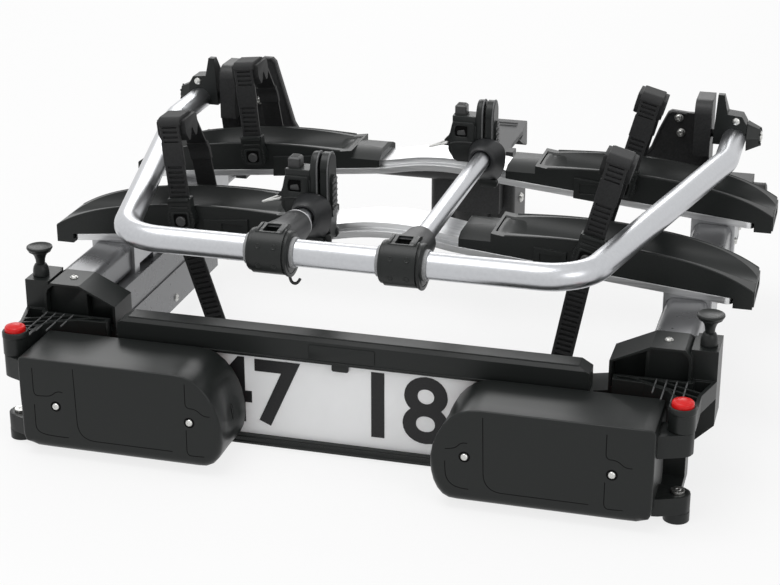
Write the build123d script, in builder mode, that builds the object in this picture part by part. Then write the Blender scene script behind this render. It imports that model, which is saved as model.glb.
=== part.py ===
from build123d import *
from math import cos, radians, tan
import os

os.makedirs("parts", exist_ok=True)

# Towball bike rack, folded for storage. Millimetres. +X is to the right seen from behind,
# +Y points forward to the vehicle and +Z up. The origin is the centre of the towball.
sides = ((-1, "left"), (1, "right"))

# Clearances
slide_gap = 0.3
pin_gap = 0.05
rest_gap = 0.3

# Rails that carry the wheel trays: a flat flange with a raised hat along its middle
rail_width = 80
rail_half = 401
rail_flange = 8
rail_hat_width = 56
rail_hat_height = 15
rail_skin = 4
rail_end_z = 65.8
rail_slope = 0.098
rail_bend_x = 74
rail_middle_half = 28
rail_middle_z = 107
rail_bend_radius = 280
rail_corner = 9
rail_slot_width = 14
rail_slot_start = 88
near_rail_y = -443
rail_pitch = 260
far_rail_y = near_rail_y + rail_pitch

# Wheel trays
tray_inner_x = 84
tray_block_x = 122
tray_overhang = 22
tray_outer_x = rail_half + tray_overhang
tray_block_top = 125
tray_block_edge = 115
tray_shoulder_x = 136
tray_shoulder_top = 123
tray_crown_x = 215
tray_crown_top = 126
tray_fall_x = tray_outer_x - 89
tray_fall_top = 115
tray_tip_x = tray_outer_x - 33
tray_tip_top = 100.5
tray_end_top = 84
tray_nose_z = 62.5
tray_wall = 6
tray_floor = 4
tray_trough_radius = 38
skirt_start = 173
skirt_gap = 8
skirt_thick = 2.8
skirt_reach = 26
latch_start = 180
latch_end = 206
latch_depth = 2
keel_start = rail_slot_start + 2
keel_end = rail_half - 11
keel_foot_width = 26
keel_foot_thick = 3.2

# Wheel straps, each with a rim pad, a buckle and a release button; those on the right lean
# further outward than those on the left
strap_foot_x = {-1: 254, 1: 236}
strap_lean = {-1: 6, 1: 15}
strap_width = 25
strap_thick = 3
strap_cap_bend = 7
strap_fall_bend = 24
strap_top = 232
strap_cap_end = 0
strap_root_z = 112
strap_out = 6
pad_length = 36
pad_depth = 28
pad_half = 19
pad_middle = -22
buckle_width = 34
buckle_neck = 29
buckle_height = 40
buckle_thick = 12
buckle_z = 116.5
buckle_corner = 11
buckle_button_radius = 6
buckle_button_length = 7
buckle_button_proud = 3
buckle_button_drop = 8
buckle_button_travel = 2.5
tail_low_x = 202
tail_top_z = 94
tail_low_z = -62

# Side members: an upper tube and a channel below it
member_x = 350.5
member_width = 47
member_height = 39
member_wall = 3
member_corner = 9
member_z = 47.5
member_near_y = -580
member_far_y = -93
channel_inner_x = 317
channel_outer_x = 361
channel_top_z = 28
channel_low_z = -58
channel_near_y = -580
channel_far_y = -214
channel_wall = 3
channel_groove_z = -5
channel_groove_width = 8
channel_groove_depth = 1.6
saddle_wall = 4
saddle_length = 44
saddle_foot = 74

# Sliding inner tubes of the lamp board
inner_wall = 3
inner_near_y = -604
inner_far_y = -400

# Rear cross tube and hinge towers
cross_y = -75
cross_z = 63
cross_radius = 16
cross_wall = 3
tower_foot_inner = 316
tower_foot_outer = 386
cross_overhang = 16
cross_half = tower_foot_outer + cross_overhang
cross_cap = 8
tower_foot_z = 84
tower_web_thick = 7
tower_web_y = -99
tower_web_low = 69
tower_inner_x = 232
tower_cheek_x = 332.5
tower_cheek_thick = 9
tower_cheek_reach = 44
tower_band_x = 311
tower_band_top = 202
tower_fin_left = [(241, 119), (266, 203), (271, 208), (284, 208), (298, 196)]
tower_fin_right = [(251.7, 123.5), (261, 149), (272, 173), (277, 176), (298, 174)]

# Folding U-frame
frame_radius = 15
frame_wall = 2
bar_y = -660
bar_z = 148
bar_corner_x = 258.5
bar_corner_radius = 58
bend_x = 362
bend_y = -230
bend_radius = 70
hinge_y = -120
hinge_z = 156
tail_end_y = -102
fitting_inner_x = 335.5
fitting_low_z = 148
fitting_peak_x = 339.5
fitting_peak_width = 8
fitting_peak_z = 213
fitting_shoulder_z = 188
fitting_length = 26
bolt_radius = 5
knob_radius = 21
knob_corner = 4
knob_thick = 17
knob_taper = 24

# Clamps, liners and arms on the bar
short_clamp_x = -82
long_clamp_x = 66
clamp_width = 48
clamp_panel_half = 18
clamp_panel_proud = 2
clamp_pocket_half = 8
clamp_hood_half = 14
liner_wall = 2
liner_length = 56
band_wall = 6.5
sleeve_radius = 17
sleeve_root_width = 44
sleeve_root_height = 42
sleeve_neck = 34
arm_radius = 11
arm_wall = 2
short_sleeve_length = 62
long_sleeve_length = 48

# Claws
short_claw_y = -522
long_claw_y = -262
short_jaw_offset = -1
long_jaw_offset = -14
claw_hub_radius = 18
claw_hub_length = 24
claw_depth = 32
claw_top = 66
claw_low = 40
claw_plate_thick = 10
claw_slit = 3
jaw_thick = 10
jaw_rim = 2.5
jaw_pin_radius = 2.5
jaw_pin_inset = 5
jaw_ear_radius = 7
jaw_ear_length = 4.5
lock_width = 34
lock_top = 46
lock_low = -12
button_side = 15
button_stem = 9
button_head = 13
button_travel = 4
ring_wire = 2.5
ring_reach = 24
ring_height = 18

# Lamp board: end brackets, plate holder, plate and lamps
lamp_face_y = -745
lamp_depth = 80
lamp_inner_x = 117
lamp_outer_x = 354
lamp_top_z = 25.5
lamp_low_z = -84.5
lamp_corner = 13
lamp_edge = 3
lamp_wall = 3
lamp_back_wall = 6
lamp_step = 24
lamp_hinge_step = 10
groove_width = 1.4
groove_depth = 0.8
screw_recess_radius = 5
screw_recess_depth = 2.2
lens_thick = 4
lens_inset = 5
lens_step = 1.5
pivot_x = 375
pivot_y = -703.6
upper_pin_radius = 7
lower_pin_radius = 6
lug_radius = 14.5
lug_root_half = 24
upper_lug_low = -14
upper_lug_top = 11.5
lower_lug_low = -81
lower_lug_top = -61
barrel_radius = 14.5
barrel_low = 12
barrel_top = 38
foot_radius = 14
foot_thick = 11
bracket_near_y = -628
bracket_far_y = -580
plate_half = 260
plate_height = 110
plate_thick = 1.5
holder_rim = 10
holder_half = plate_half + holder_rim
holder_lug_width = 8
bracket_inner_x = holder_half - holder_lug_width
bracket_waist_x = bracket_inner_x + 24
bracket_outer_x = 374
bracket_top = 67.5
bracket_low = -62
bracket_skin = 3
box_inner_x = 374.6
box_outer_x = 401
box_near_y = -620
box_far_y = -572
box_top = 66
box_low = -20
box_slope = 26
arm_low = 12
arm_top = 32
arm_floor = 4
arm_skin = 4
arm_ribs = 5
red_head_radius = 11.8
red_head_low = 36
red_head_top = 44.5
red_stem_radius = 6
red_stem_low = 22
red_travel = 4
plunger_x = 388.5
plunger_y = -602
plunger_radius = 4.5
plunger_collar_radius = 6.5
plunger_collar_height = 12
plunger_disc_radius = 13
plunger_disc_low = 96
plunger_disc_thick = 4.5
plunger_cone = 6
plunger_low = 4
holder_top = 49
holder_bar_low = 18.5
holder_near_y = -659
holder_far_y = -633
holder_back_y = -651
holder_back_thick = 5
holder_lip_top = -80
holder_low = -91

# Coupling and its lever
ball_radius = 25
ball_gap = 0.1
coupling_half = 60
coupling_near_y = -46
coupling_far_y = 44
coupling_top = 44
coupling_low = -34
coupling_arm_low = 2
nose_top_radius = 33
nose_low_radius = 20
nose_reach = 20
arm_half = 45
lever_pivot_y = 8
lever_pivot_z = 58
lever_pin_radius = 5
lever_top_y = 106
lever_top_z = 82
lever_half = 46
lever_neck_half = 38
lever_neck_length = 32
lever_thick = 6
lever_lip = 33
ear_thick = 10


def save(made, label):
    """Label a finished piece and write its file."""
    made.part.label = label
    export_step(made.part, "parts/" + label + ".step")


def to_side(side):
    """Pieces are drawn on the right; a left one is the mirror image."""
    if side < 0:
        mirror(about=Plane.YZ, mode=Mode.REPLACE)


def rail_z(x):
    """Height of the rail's underside along its straight halves."""
    return rail_end_z + rail_slope * (rail_half - abs(x))


def upright(y):
    """Plane for side outlines drawn in X and Z at one depth."""
    return Plane.XZ.offset(-y)


def block(x_range, y_range, z_range, mode=Mode.ADD):
    """Box from its lowest to its highest corner."""
    x_low, x_high = sorted(x_range)
    y_low, y_high = sorted(y_range)
    z_low, z_high = sorted(z_range)
    with Locations(((x_low + x_high) / 2, (y_low + y_high) / 2, (z_low + z_high) / 2)):
        Box(x_high - x_low, y_high - y_low, z_high - z_low, mode=mode)


def rod(start, end, radius, mode=Mode.ADD):
    """Round bar from one point to another."""
    axis = Vector(*end) - Vector(*start)
    with BuildSketch(Plane(origin=start, z_dir=axis.normalized())) as outline:
        Circle(radius)
    extrude(outline.sketch, amount=axis.length, mode=mode)


def prism(points, y_range, mode=Mode.ADD):
    """Outline in X and Z, extruded along Y."""
    y_low, y_high = sorted(y_range)
    with BuildSketch(upright(y_high)) as outline:
        with BuildLine():
            Polyline(*points, close=True)
        make_face()
    extrude(outline.sketch, amount=y_high - y_low, mode=mode)


def slab(points, z_range, mode=Mode.ADD):
    """Outline in X and Y, extruded upward."""
    z_low, z_high = sorted(z_range)
    with BuildSketch(Plane.XY.offset(z_low)) as outline:
        with BuildLine():
            Polyline(*points, close=True)
        make_face()
    extrude(outline.sketch, amount=z_high - z_low, mode=mode)


def side_plate(points, x_range, mode=Mode.ADD):
    """Outline in Y and Z, extruded along X."""
    x_low, x_high = sorted(x_range)
    with BuildSketch(Plane.YZ.offset(x_low)) as outline:
        with BuildLine():
            Polyline(*points, close=True)
        make_face()
    extrude(outline.sketch, amount=x_high - x_low, mode=mode)


# Rails

def rail_strip(low, high, half_width, mode=Mode.ADD):
    """Band that follows the rail from one height over its underside to another."""
    line = [
        (-rail_half, rail_end_z),
        (-rail_bend_x, rail_z(rail_bend_x)),
        (-rail_middle_half, rail_middle_z),
        (rail_middle_half, rail_middle_z),
        (rail_bend_x, rail_z(rail_bend_x)),
        (rail_half, rail_end_z),
    ]
    with BuildSketch(Plane.XZ) as strip:
        with BuildLine():
            FilletPolyline(*[(x, z + low) for x, z in line], radius=rail_bend_radius)
            FilletPolyline(*[(x, z + high) for x, z in line], radius=rail_bend_radius)
            Line((-rail_half, rail_end_z + low), (-rail_half, rail_end_z + high))
            Line((rail_half, rail_end_z + low), (rail_half, rail_end_z + high))
        make_face()
    extrude(strip.sketch, amount=half_width, both=True, mode=mode)


def rail(centre_y):
    with BuildPart() as made:
        rail_strip(0, rail_flange, rail_width / 2)
        fillet(made.edges().filter_by(Axis.Z), rail_corner)
        rail_strip(0, rail_hat_height, rail_hat_width / 2)
        rail_strip(-1, rail_hat_height - rail_skin, rail_hat_width / 2 - rail_skin, Mode.SUBTRACT)
        for side in (-1, 1):
            block(
                (side * rail_slot_start, side * (rail_half + 1)),
                (-rail_slot_width / 2, rail_slot_width / 2),
                (rail_end_z, rail_middle_z + rail_hat_height + 1),
                Mode.SUBTRACT,
            )
    made.part = made.part.moved(Location((0, centre_y, 0)))
    return made


# Wheel trays

def along_rail(x_low, x_high, low, high, half_width, mode=Mode.ADD):
    """Straight bar beside the rail, at heights over its underside."""
    prism(
        [
            (x_low, rail_z(x_low) + low),
            (x_high, rail_z(x_high) + low),
            (x_high, rail_z(x_high) + high),
            (x_low, rail_z(x_low) + high),
        ],
        (-half_width, half_width),
        mode,
    )


def wheel_tray(side, centre_y):
    """Tray with a rounded trough for the tyre and a domed block at its inner end."""
    half = rail_width / 2
    end_gap_x = rail_half + slide_gap
    trough_x = tray_block_x + tray_wall
    skirt_end = strap_foot_x[side] - buckle_width / 2 - skirt_gap
    trough_low = rail_hat_height + slide_gap + tray_floor
    with BuildPart() as made:
        with BuildSketch(Plane.XZ):
            with BuildLine():
                Polyline(
                    (tray_block_x, tray_block_top),
                    (tray_inner_x + 3, tray_block_top - 1),
                    (tray_inner_x, tray_block_top - 5),
                    (tray_inner_x, rail_z(tray_inner_x)),
                    (end_gap_x, rail_z(end_gap_x)),
                    (end_gap_x, tray_nose_z),
                    (tray_outer_x, tray_nose_z),
                    (tray_outer_x, tray_end_top),
                )
                Spline(
                    (tray_outer_x, tray_end_top),
                    (tray_tip_x, tray_tip_top),
                    (tray_fall_x, tray_fall_top),
                    (tray_crown_x, tray_crown_top),
                    (tray_shoulder_x, tray_shoulder_top),
                )
                Line((tray_shoulder_x, tray_shoulder_top), (tray_block_x, tray_block_top))
            make_face()
        extrude(amount=half, both=True)
        along_rail(skirt_start, skirt_end, -0.4, skirt_reach, half + slide_gap + skirt_thick)
        dome_drop = tray_block_top - tray_block_edge
        dome_radius = (half**2 + dome_drop**2) / (2 * dome_drop)
        with BuildSketch(Plane.YZ.offset(tray_inner_x - 1)):
            with Locations((0, tray_block_top)):
                Rectangle(2 * half + 2, 2 * dome_drop)
            with Locations((0, tray_block_top - dome_radius)):
                Circle(dome_radius, mode=Mode.SUBTRACT)
        extrude(amount=tray_block_x - tray_inner_x + 1, mode=Mode.SUBTRACT)
        rod(
            (trough_x, 0, rail_z(trough_x) + trough_low + tray_trough_radius),
            (tray_outer_x + 9, 0, rail_z(tray_outer_x + 9) + trough_low + tray_trough_radius),
            tray_trough_radius,
            Mode.SUBTRACT,
        )
        along_rail(tray_inner_x - 1, end_gap_x, -9, rail_flange + slide_gap, half + slide_gap, Mode.SUBTRACT)
        along_rail(
            tray_inner_x - 1,
            end_gap_x,
            rail_flange,
            rail_hat_height + slide_gap,
            rail_hat_width / 2 + slide_gap,
            Mode.SUBTRACT,
        )
        with Locations(
            (
                (latch_start + latch_end) / 2,
                -half - slide_gap - skirt_thick + latch_depth / 2,
                rail_z(latch_start) + skirt_reach / 2,
            )
        ):
            Box(latch_end - latch_start, latch_depth, skirt_reach / 2, mode=Mode.SUBTRACT)
        foot_top = rail_hat_height - rail_skin - slide_gap
        along_rail(
            keel_start,
            keel_end,
            foot_top - 0.5,
            rail_hat_height + slide_gap + 0.5,
            rail_slot_width / 2 - slide_gap,
        )
        along_rail(keel_start, keel_end, foot_top - keel_foot_thick, foot_top, keel_foot_width / 2)
        to_side(side)
    made.part = made.part.moved(Location((0, centre_y, 0)))
    return made


def leaned(piece, side, centre_y):
    """Tips a piece drawn upright over the origin outward, and sets it on its strap's foot."""
    placed = piece.moved(Location((strap_foot_x[side], centre_y, strap_root_z), (0, strap_lean[side], 0)))
    if side < 0:
        placed = placed.mirror(Plane.YZ)
    return placed


def strap_middle(side, z):
    """Distance of a strap's middle line from the middle of the rack, at one height."""
    return strap_foot_x[side] + (z - strap_root_z) * tan(radians(strap_lean[side]))


def wheel_strap(side, centre_y):
    """Ladder strap: straight up from its buckle, flat over the rim, then sloping to the far wall."""
    near = -rail_width / 2 - strap_out
    far = rail_width / 2 + strap_out
    top = strap_top - strap_root_z
    with BuildPart() as made:
        with BuildLine(Plane.YZ) as line:
            FilletPolyline(
                (near, 0),
                (near, top),
                (strap_cap_end, top),
                (far - 12, top - 58),
                (far, -14),
                radius=[strap_cap_bend, strap_fall_bend, strap_fall_bend],
            )
        with BuildSketch(Plane(origin=(0, near, 0), z_dir=(0, 0, 1))):
            Rectangle(strap_width, strap_thick)
        sweep(path=line.wire())
        pad_top = top - strap_thick / 2
        side_plate(
            [
                (pad_middle - pad_half, pad_top),
                (pad_middle + pad_half, pad_top),
                (pad_middle + pad_half, pad_top - pad_depth * 0.6),
                (pad_middle + pad_half * 0.6, pad_top - pad_depth),
                (pad_middle, pad_top - pad_depth * 0.45),
                (pad_middle - pad_half * 0.6, pad_top - pad_depth),
                (pad_middle - pad_half, pad_top - pad_depth * 0.6),
            ],
            (-pad_length / 2, pad_length / 2),
        )
        block(
            (-strap_width / 2, strap_width / 2),
            (rail_width / 2, far),
            (-14, -6),
        )
    made.part = leaned(made.part, side, centre_y)
    return made


def strap_buckle(side, centre_y):
    """Ratchet body on the near wall: the strap passes up out of its top."""
    back = -rail_width / 2
    front = back - buckle_thick
    strap_slot = strap_thick / 2
    middle = buckle_z - strap_root_z
    low = middle - buckle_height / 2
    top = middle + buckle_height / 2
    with BuildPart() as made:
        prism(
            [
                (-buckle_neck / 2, top),
                (-buckle_neck / 2, middle + 4),
                (-buckle_width / 2, middle - 5),
                (-buckle_width / 2, low),
                (buckle_width / 2, low),
                (buckle_width / 2, middle - 5),
                (buckle_neck / 2, middle + 4),
                (buckle_neck / 2, top),
            ],
            (front, back),
        )
        edges = made.edges().filter_by(Axis.Y).group_by(Axis.Z)
        fillet(edges[0], buckle_corner)
        fillet(made.edges().filter_by(Axis.Y).group_by(Axis.Z)[-1], 1)
        block(
            (-strap_width / 2, strap_width / 2),
            (back - strap_out - strap_slot, back - strap_out + strap_slot),
            (middle - buckle_height, middle + buckle_height),
            Mode.SUBTRACT,
        )
        button_z = middle - buckle_button_drop
        rod(
            (0, front - 1, button_z),
            (0, front + buckle_button_length, button_z),
            buckle_button_radius + pin_gap,
            Mode.SUBTRACT,
        )
    made.part = leaned(made.part, side, centre_y)
    return made


def buckle_button(side, centre_y):
    front = -rail_width / 2 - buckle_thick
    button_z = buckle_z - strap_root_z - buckle_button_drop
    with BuildPart() as made:
        rod(
            (0, front - buckle_button_proud, button_z),
            (0, front + buckle_button_length - buckle_button_travel - rest_gap, button_z),
            buckle_button_radius,
        )
        chamfer(made.faces().sort_by(Axis.Y)[0].edges(), 0.8)
    made.part = leaned(made.part, side, centre_y)
    return made


def strap_tail(side):
    """Loose end of a near strap, hanging from the bottom of its buckle."""
    half_width = strap_width / 2
    half_level = half_width / cos(radians(strap_lean[side]))
    top_z = buckle_z - buckle_height / 2 + 6
    top_x = strap_middle(side, top_z)
    bend_at_x = strap_middle(side, tail_top_z)
    centre_y = near_rail_y - rail_width / 2 - strap_out
    with BuildPart() as made:
        prism(
            [
                (top_x - half_level, top_z),
                (bend_at_x - half_level, tail_top_z),
                (tail_low_x - half_width, tail_low_z),
                (tail_low_x + half_width, tail_low_z),
                (bend_at_x + half_level, tail_top_z),
                (top_x + half_level, top_z),
            ],
            (centre_y - strap_thick / 2, centre_y + strap_thick / 2),
        )
        to_side(side)
    return made


# Chassis

def tube_outline(width, height, corner, wall):
    RectangleRounded(width, height, corner)
    RectangleRounded(width - 2 * wall, height - 2 * wall, max(corner - wall, 1), mode=Mode.SUBTRACT)


def side_members():
    with BuildPart() as made:
        for side, _ in sides:
            with BuildSketch(upright(member_far_y)):
                with Locations((side * member_x, member_z)):
                    tube_outline(member_width, member_height, member_corner, member_wall)
            extrude(amount=member_far_y - member_near_y)
    return made


def lower_channels():
    width = channel_outer_x - channel_inner_x
    height = channel_top_z - channel_low_z
    with BuildPart() as made:
        with BuildSketch(upright(channel_far_y)):
            with Locations(((channel_inner_x + channel_outer_x) / 2, (channel_top_z + channel_low_z) / 2)):
                Rectangle(width, height)
                Rectangle(width - 2 * channel_wall, height - 2 * channel_wall, mode=Mode.SUBTRACT)
            with Locations((channel_inner_x + channel_groove_depth / 2, channel_groove_z)):
                Rectangle(channel_groove_depth, channel_groove_width, mode=Mode.SUBTRACT)
        extrude(amount=channel_far_y - channel_near_y)
        mirror(about=Plane.YZ)
    return made


def rail_saddles():
    """Collars round the upper tubes, with a pad under each rail flange."""
    outer_width = member_width + 2 * saddle_wall
    outer_height = member_height + saddle_wall
    left_x = member_x - outer_width / 2
    right_x = member_x + outer_width / 2
    low_z = member_z - member_height / 2
    with BuildPart() as made:
        for centre_y in (near_rail_y, far_rail_y):
            near = centre_y - saddle_foot / 2
            far = centre_y + saddle_foot / 2
            prism(
                [
                    (left_x, low_z),
                    (right_x, low_z),
                    (right_x, rail_z(right_x)),
                    (left_x, rail_z(left_x)),
                ],
                (near, far),
            )
            with BuildSketch(upright(far)):
                with Locations((member_x, member_z)):
                    RectangleRounded(member_width, member_height, member_corner)
            extrude(amount=far - near, mode=Mode.SUBTRACT)
            block((left_x - 1, right_x + 1), (near + 15, far - 15), (low_z - 1, low_z + 9), Mode.SUBTRACT)
        mirror(about=Plane.YZ)
    return made


def rear_cross_tube():
    with BuildPart() as made:
        rod((-cross_half, cross_y, cross_z), (cross_half, cross_y, cross_z), cross_radius)
        inner = cross_radius - cross_wall
        hollow_half = cross_half - cross_cap
        rod((-hollow_half, cross_y, cross_z), (hollow_half, cross_y, cross_z), inner, Mode.SUBTRACT)
    return made


def hinge_towers():
    """Castings on the cross tube that carry the folding frame; the left one has the taller fin."""
    web_near = tower_web_y
    web_far = tower_web_y + tower_web_thick
    cheek_near = hinge_y - tower_cheek_reach / 2
    with BuildPart() as made:
        block((tower_inner_x, tower_cheek_x), (web_near, cross_y), (tower_web_low, tower_foot_z + 8))
        block(
            (tower_foot_inner, tower_foot_outer),
            (member_far_y, cross_y + cross_radius + 6),
            (member_z - member_height / 2, tower_foot_z),
        )
        side_plate(
            [
                (web_far, tower_foot_z - 2),
                (cheek_near + 12, tower_foot_z + 14),
                (cheek_near, hinge_z - 16),
                (cheek_near, hinge_z + 14),
                (cheek_near + 10, hinge_z + 22),
                (web_far, hinge_z + 22),
            ],
            (tower_cheek_x - tower_cheek_thick, tower_cheek_x),
        )
        with BuildSketch(Plane.YZ.offset(tower_band_x)):
            with BuildLine():
                Line((web_far, 130), (cheek_near, 130))
                Line((cheek_near, 130), (cheek_near, tower_band_top - 16))
                RadiusArc((cheek_near, tower_band_top - 16), (cheek_near + 16, tower_band_top), 16)
                Line((cheek_near + 16, tower_band_top), (web_far, tower_band_top))
                Line((web_far, tower_band_top), (web_far, 130))
            make_face()
        extrude(amount=tower_cheek_x - tower_band_x)
        mirror(about=Plane.YZ)
        for side, fin in ((-1, tower_fin_left), (1, tower_fin_right)):
            outline = [
                (tower_inner_x, tower_web_low),
                (tower_inner_x, 104),
                *fin,
                (tower_band_x + 4, fin[-1][1]),
                (tower_band_x + 4, tower_web_low),
            ]
            prism([(side * x, z) for x, z in outline], (web_near, web_far))
            prism(
                [
                    (side * (tower_band_x + 2), tower_web_low),
                    (side * (tower_band_x + 2), hinge_z + 26),
                    (side * tower_cheek_x, hinge_z + 14),
                    (side * tower_cheek_x, tower_web_low),
                ],
                (web_near, web_far),
            )
            rod(
                (side * (tower_cheek_x - 30), hinge_y, hinge_z),
                (side * (tower_cheek_x + 1), hinge_y, hinge_z),
                bolt_radius + pin_gap,
                Mode.SUBTRACT,
            )
        rod((-cross_half, cross_y, cross_z), (cross_half, cross_y, cross_z), cross_radius, Mode.SUBTRACT)
    return made


# Folding U-frame

def frame_z(y):
    """The folded frame rises a little from its bar to its hinges."""
    return bar_z + (y - bar_y) * (hinge_z - bar_z) / (hinge_y - bar_y)


def u_frame():
    left_half = ((-bend_x, tail_end_y), (-bend_x, bend_y), (-bar_corner_x, bar_y))
    path_points = [(x, y, frame_z(y)) for x, y in left_half]
    path_points += [(-x, y, z) for x, y, z in reversed(path_points)]
    radii = [bend_radius, bar_corner_radius, bar_corner_radius, bend_radius]
    with BuildPart() as made:
        with BuildLine() as line:
            FilletPolyline(*path_points, radius=radii)
        start = Vector(*path_points[0])
        heading = Vector(*path_points[1]) - start
        with BuildSketch(Plane(origin=start, z_dir=heading.normalized())):
            Circle(frame_radius)
            Circle(frame_radius - frame_wall, mode=Mode.SUBTRACT)
        sweep(path=line.wire())
        for side, _ in sides:
            rod(
                (side * (bend_x - 30), hinge_y, hinge_z),
                (side * (bend_x + 30), hinge_y, hinge_z),
                bolt_radius + pin_gap,
                Mode.SUBTRACT,
            )
    return made


def frame_tail_fittings():
    """Wedge fittings clipped over the frame's tails, standing up beside the towers."""
    outer = bend_x + frame_radius
    near = hinge_y - tower_cheek_reach / 2
    with BuildPart() as made:
        prism(
            [
                (fitting_inner_x, fitting_low_z),
                (bend_x - frame_radius + 3, fitting_low_z),
                (outer, hinge_z + 8),
                (outer, hinge_z + 20),
                (outer - 6, fitting_shoulder_z - 2),
                (fitting_peak_x + fitting_peak_width + 5, fitting_shoulder_z),
                (fitting_peak_x + fitting_peak_width, fitting_peak_z),
                (fitting_peak_x, fitting_peak_z),
            ],
            (near, near + fitting_length),
        )
        side_plate(
            [
                (near + 9, fitting_peak_z + 1),
                (near + fitting_length + 1, fitting_peak_z + 1),
                (near + fitting_length + 1, fitting_shoulder_z),
            ],
            (fitting_inner_x, outer),
            Mode.SUBTRACT,
        )
        rod(
            (bend_x, bend_y, frame_z(bend_y)),
            (bend_x, tail_end_y, frame_z(tail_end_y)),
            frame_radius,
            Mode.SUBTRACT,
        )
        rod(
            (fitting_inner_x - 1, hinge_y, hinge_z),
            (bend_x, hinge_y, hinge_z),
            bolt_radius + pin_gap,
            Mode.SUBTRACT,
        )
        mirror(about=Plane.YZ)
    return made


def hinge_knob(side):
    """Clamping knob with the bolt that the frame folds on."""
    head_x = bend_x + frame_radius + rest_gap
    with BuildPart() as made:
        with BuildSketch(Plane.YZ.offset(head_x)) as head:
            with Locations((hinge_y, hinge_z)):
                RegularPolygon(knob_radius, 6)
            fillet(head.vertices(), knob_corner)
        extrude(amount=knob_thick, taper=knob_taper)
        bolt_end = tower_cheek_x - tower_cheek_thick - 6
        rod((bolt_end, hinge_y, hinge_z), (head_x + 1, hinge_y, hinge_z), bolt_radius)
        to_side(side)
    return made


# Arms

def clamp_liner(centre_x):
    with BuildPart() as made:
        start = (centre_x - liner_length / 2, bar_y, bar_z)
        end = (centre_x + liner_length / 2, bar_y, bar_z)
        rod(start, end, frame_radius + pin_gap + liner_wall)
        rod(start, end, frame_radius + pin_gap, Mode.SUBTRACT)
    return made


def bar_clamp(centre_x, sleeve_length):
    """Band round the bar with a curved front panel, a pocket on top and a tapering sleeve."""
    bore = frame_radius + 2 * pin_gap + liner_wall
    outer = bore + band_wall
    half = clamp_width / 2
    with BuildPart() as made:
        rod((centre_x - half, bar_y, bar_z), (centre_x + half, bar_y, bar_z), outer)
        fillet(made.edges().filter_by(GeomType.CIRCLE), 3)
        panel = clamp_panel_half
        with BuildSketch(Plane.YZ.offset(centre_x - panel)):
            with Locations((bar_y, bar_z)):
                Circle(outer + clamp_panel_proud)
            with Locations((bar_y + outer, bar_z)):
                Rectangle(2 * outer, 4 * outer, mode=Mode.SUBTRACT)
        extrude(amount=2 * panel)
        side_plate(
            [
                (bar_y - 17, bar_z + 10),
                (bar_y - 10, bar_z + outer + 1),
                (bar_y + 14, bar_z + outer + 3),
                (bar_y + outer + 10, bar_z + sleeve_radius),
                (bar_y + outer + 10, bar_z),
            ],
            (centre_x - clamp_hood_half, centre_x + clamp_hood_half),
        )
        with BuildSketch(upright(bar_y + 2)):
            with Locations((centre_x, bar_z)):
                RectangleRounded(sleeve_root_width, sleeve_root_height, sleeve_radius - 1)
        with BuildSketch(upright(bar_y + outer + sleeve_neck - 8)):
            with Locations((centre_x, bar_z)):
                RectangleRounded(2 * sleeve_radius, 2 * sleeve_radius, sleeve_radius - 1)
        loft()
        rod((centre_x, bar_y, bar_z), (centre_x, bar_y + outer + sleeve_length, bar_z), sleeve_radius)
        pocket = clamp_pocket_half
        wide = (centre_x - pocket, centre_x + pocket)
        block(wide, (bar_y - 8, bar_y + 12), (bar_z + bore + 2, bar_z + 50), Mode.SUBTRACT)
        rod((centre_x - half - 1, bar_y, bar_z), (centre_x + half + 1, bar_y, bar_z), bore, Mode.SUBTRACT)
        mouth = bar_y + outer + sleeve_length
        rod((centre_x, bar_y + bore + 4, bar_z), (centre_x, mouth + 1, bar_z), arm_radius, Mode.SUBTRACT)
    return made


def arm_tube(centre_x, claw_y):
    start = bar_y + frame_radius + 2 * pin_gap + liner_wall + 4
    end = claw_y - 1 - rest_gap
    with BuildPart() as made:
        rod((centre_x, start, bar_z), (centre_x, end, bar_z), arm_radius)
        rod((centre_x, start, bar_z), (centre_x, end, bar_z), arm_radius - arm_wall, Mode.SUBTRACT)
    return made


def jaw_outline(near):
    """Tall rounded pad seen from the side."""
    far = near + claw_depth
    middle = (near + far) / 2
    low = bar_z - claw_low
    top = bar_z + claw_top
    with BuildLine() as edge:
        Line((near + 5, low), (far - 5, low))
        Line((far - 5, low), (far, low + 20))
        Line((far, low + 20), (far, top - 20))
        ThreePointArc((far, top - 20), (middle, top), (near, top - 20))
        Line((near, top - 20), (near, low + 20))
        Line((near, low + 20), (near + 5, low))
    make_face(edge.edges())


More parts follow.
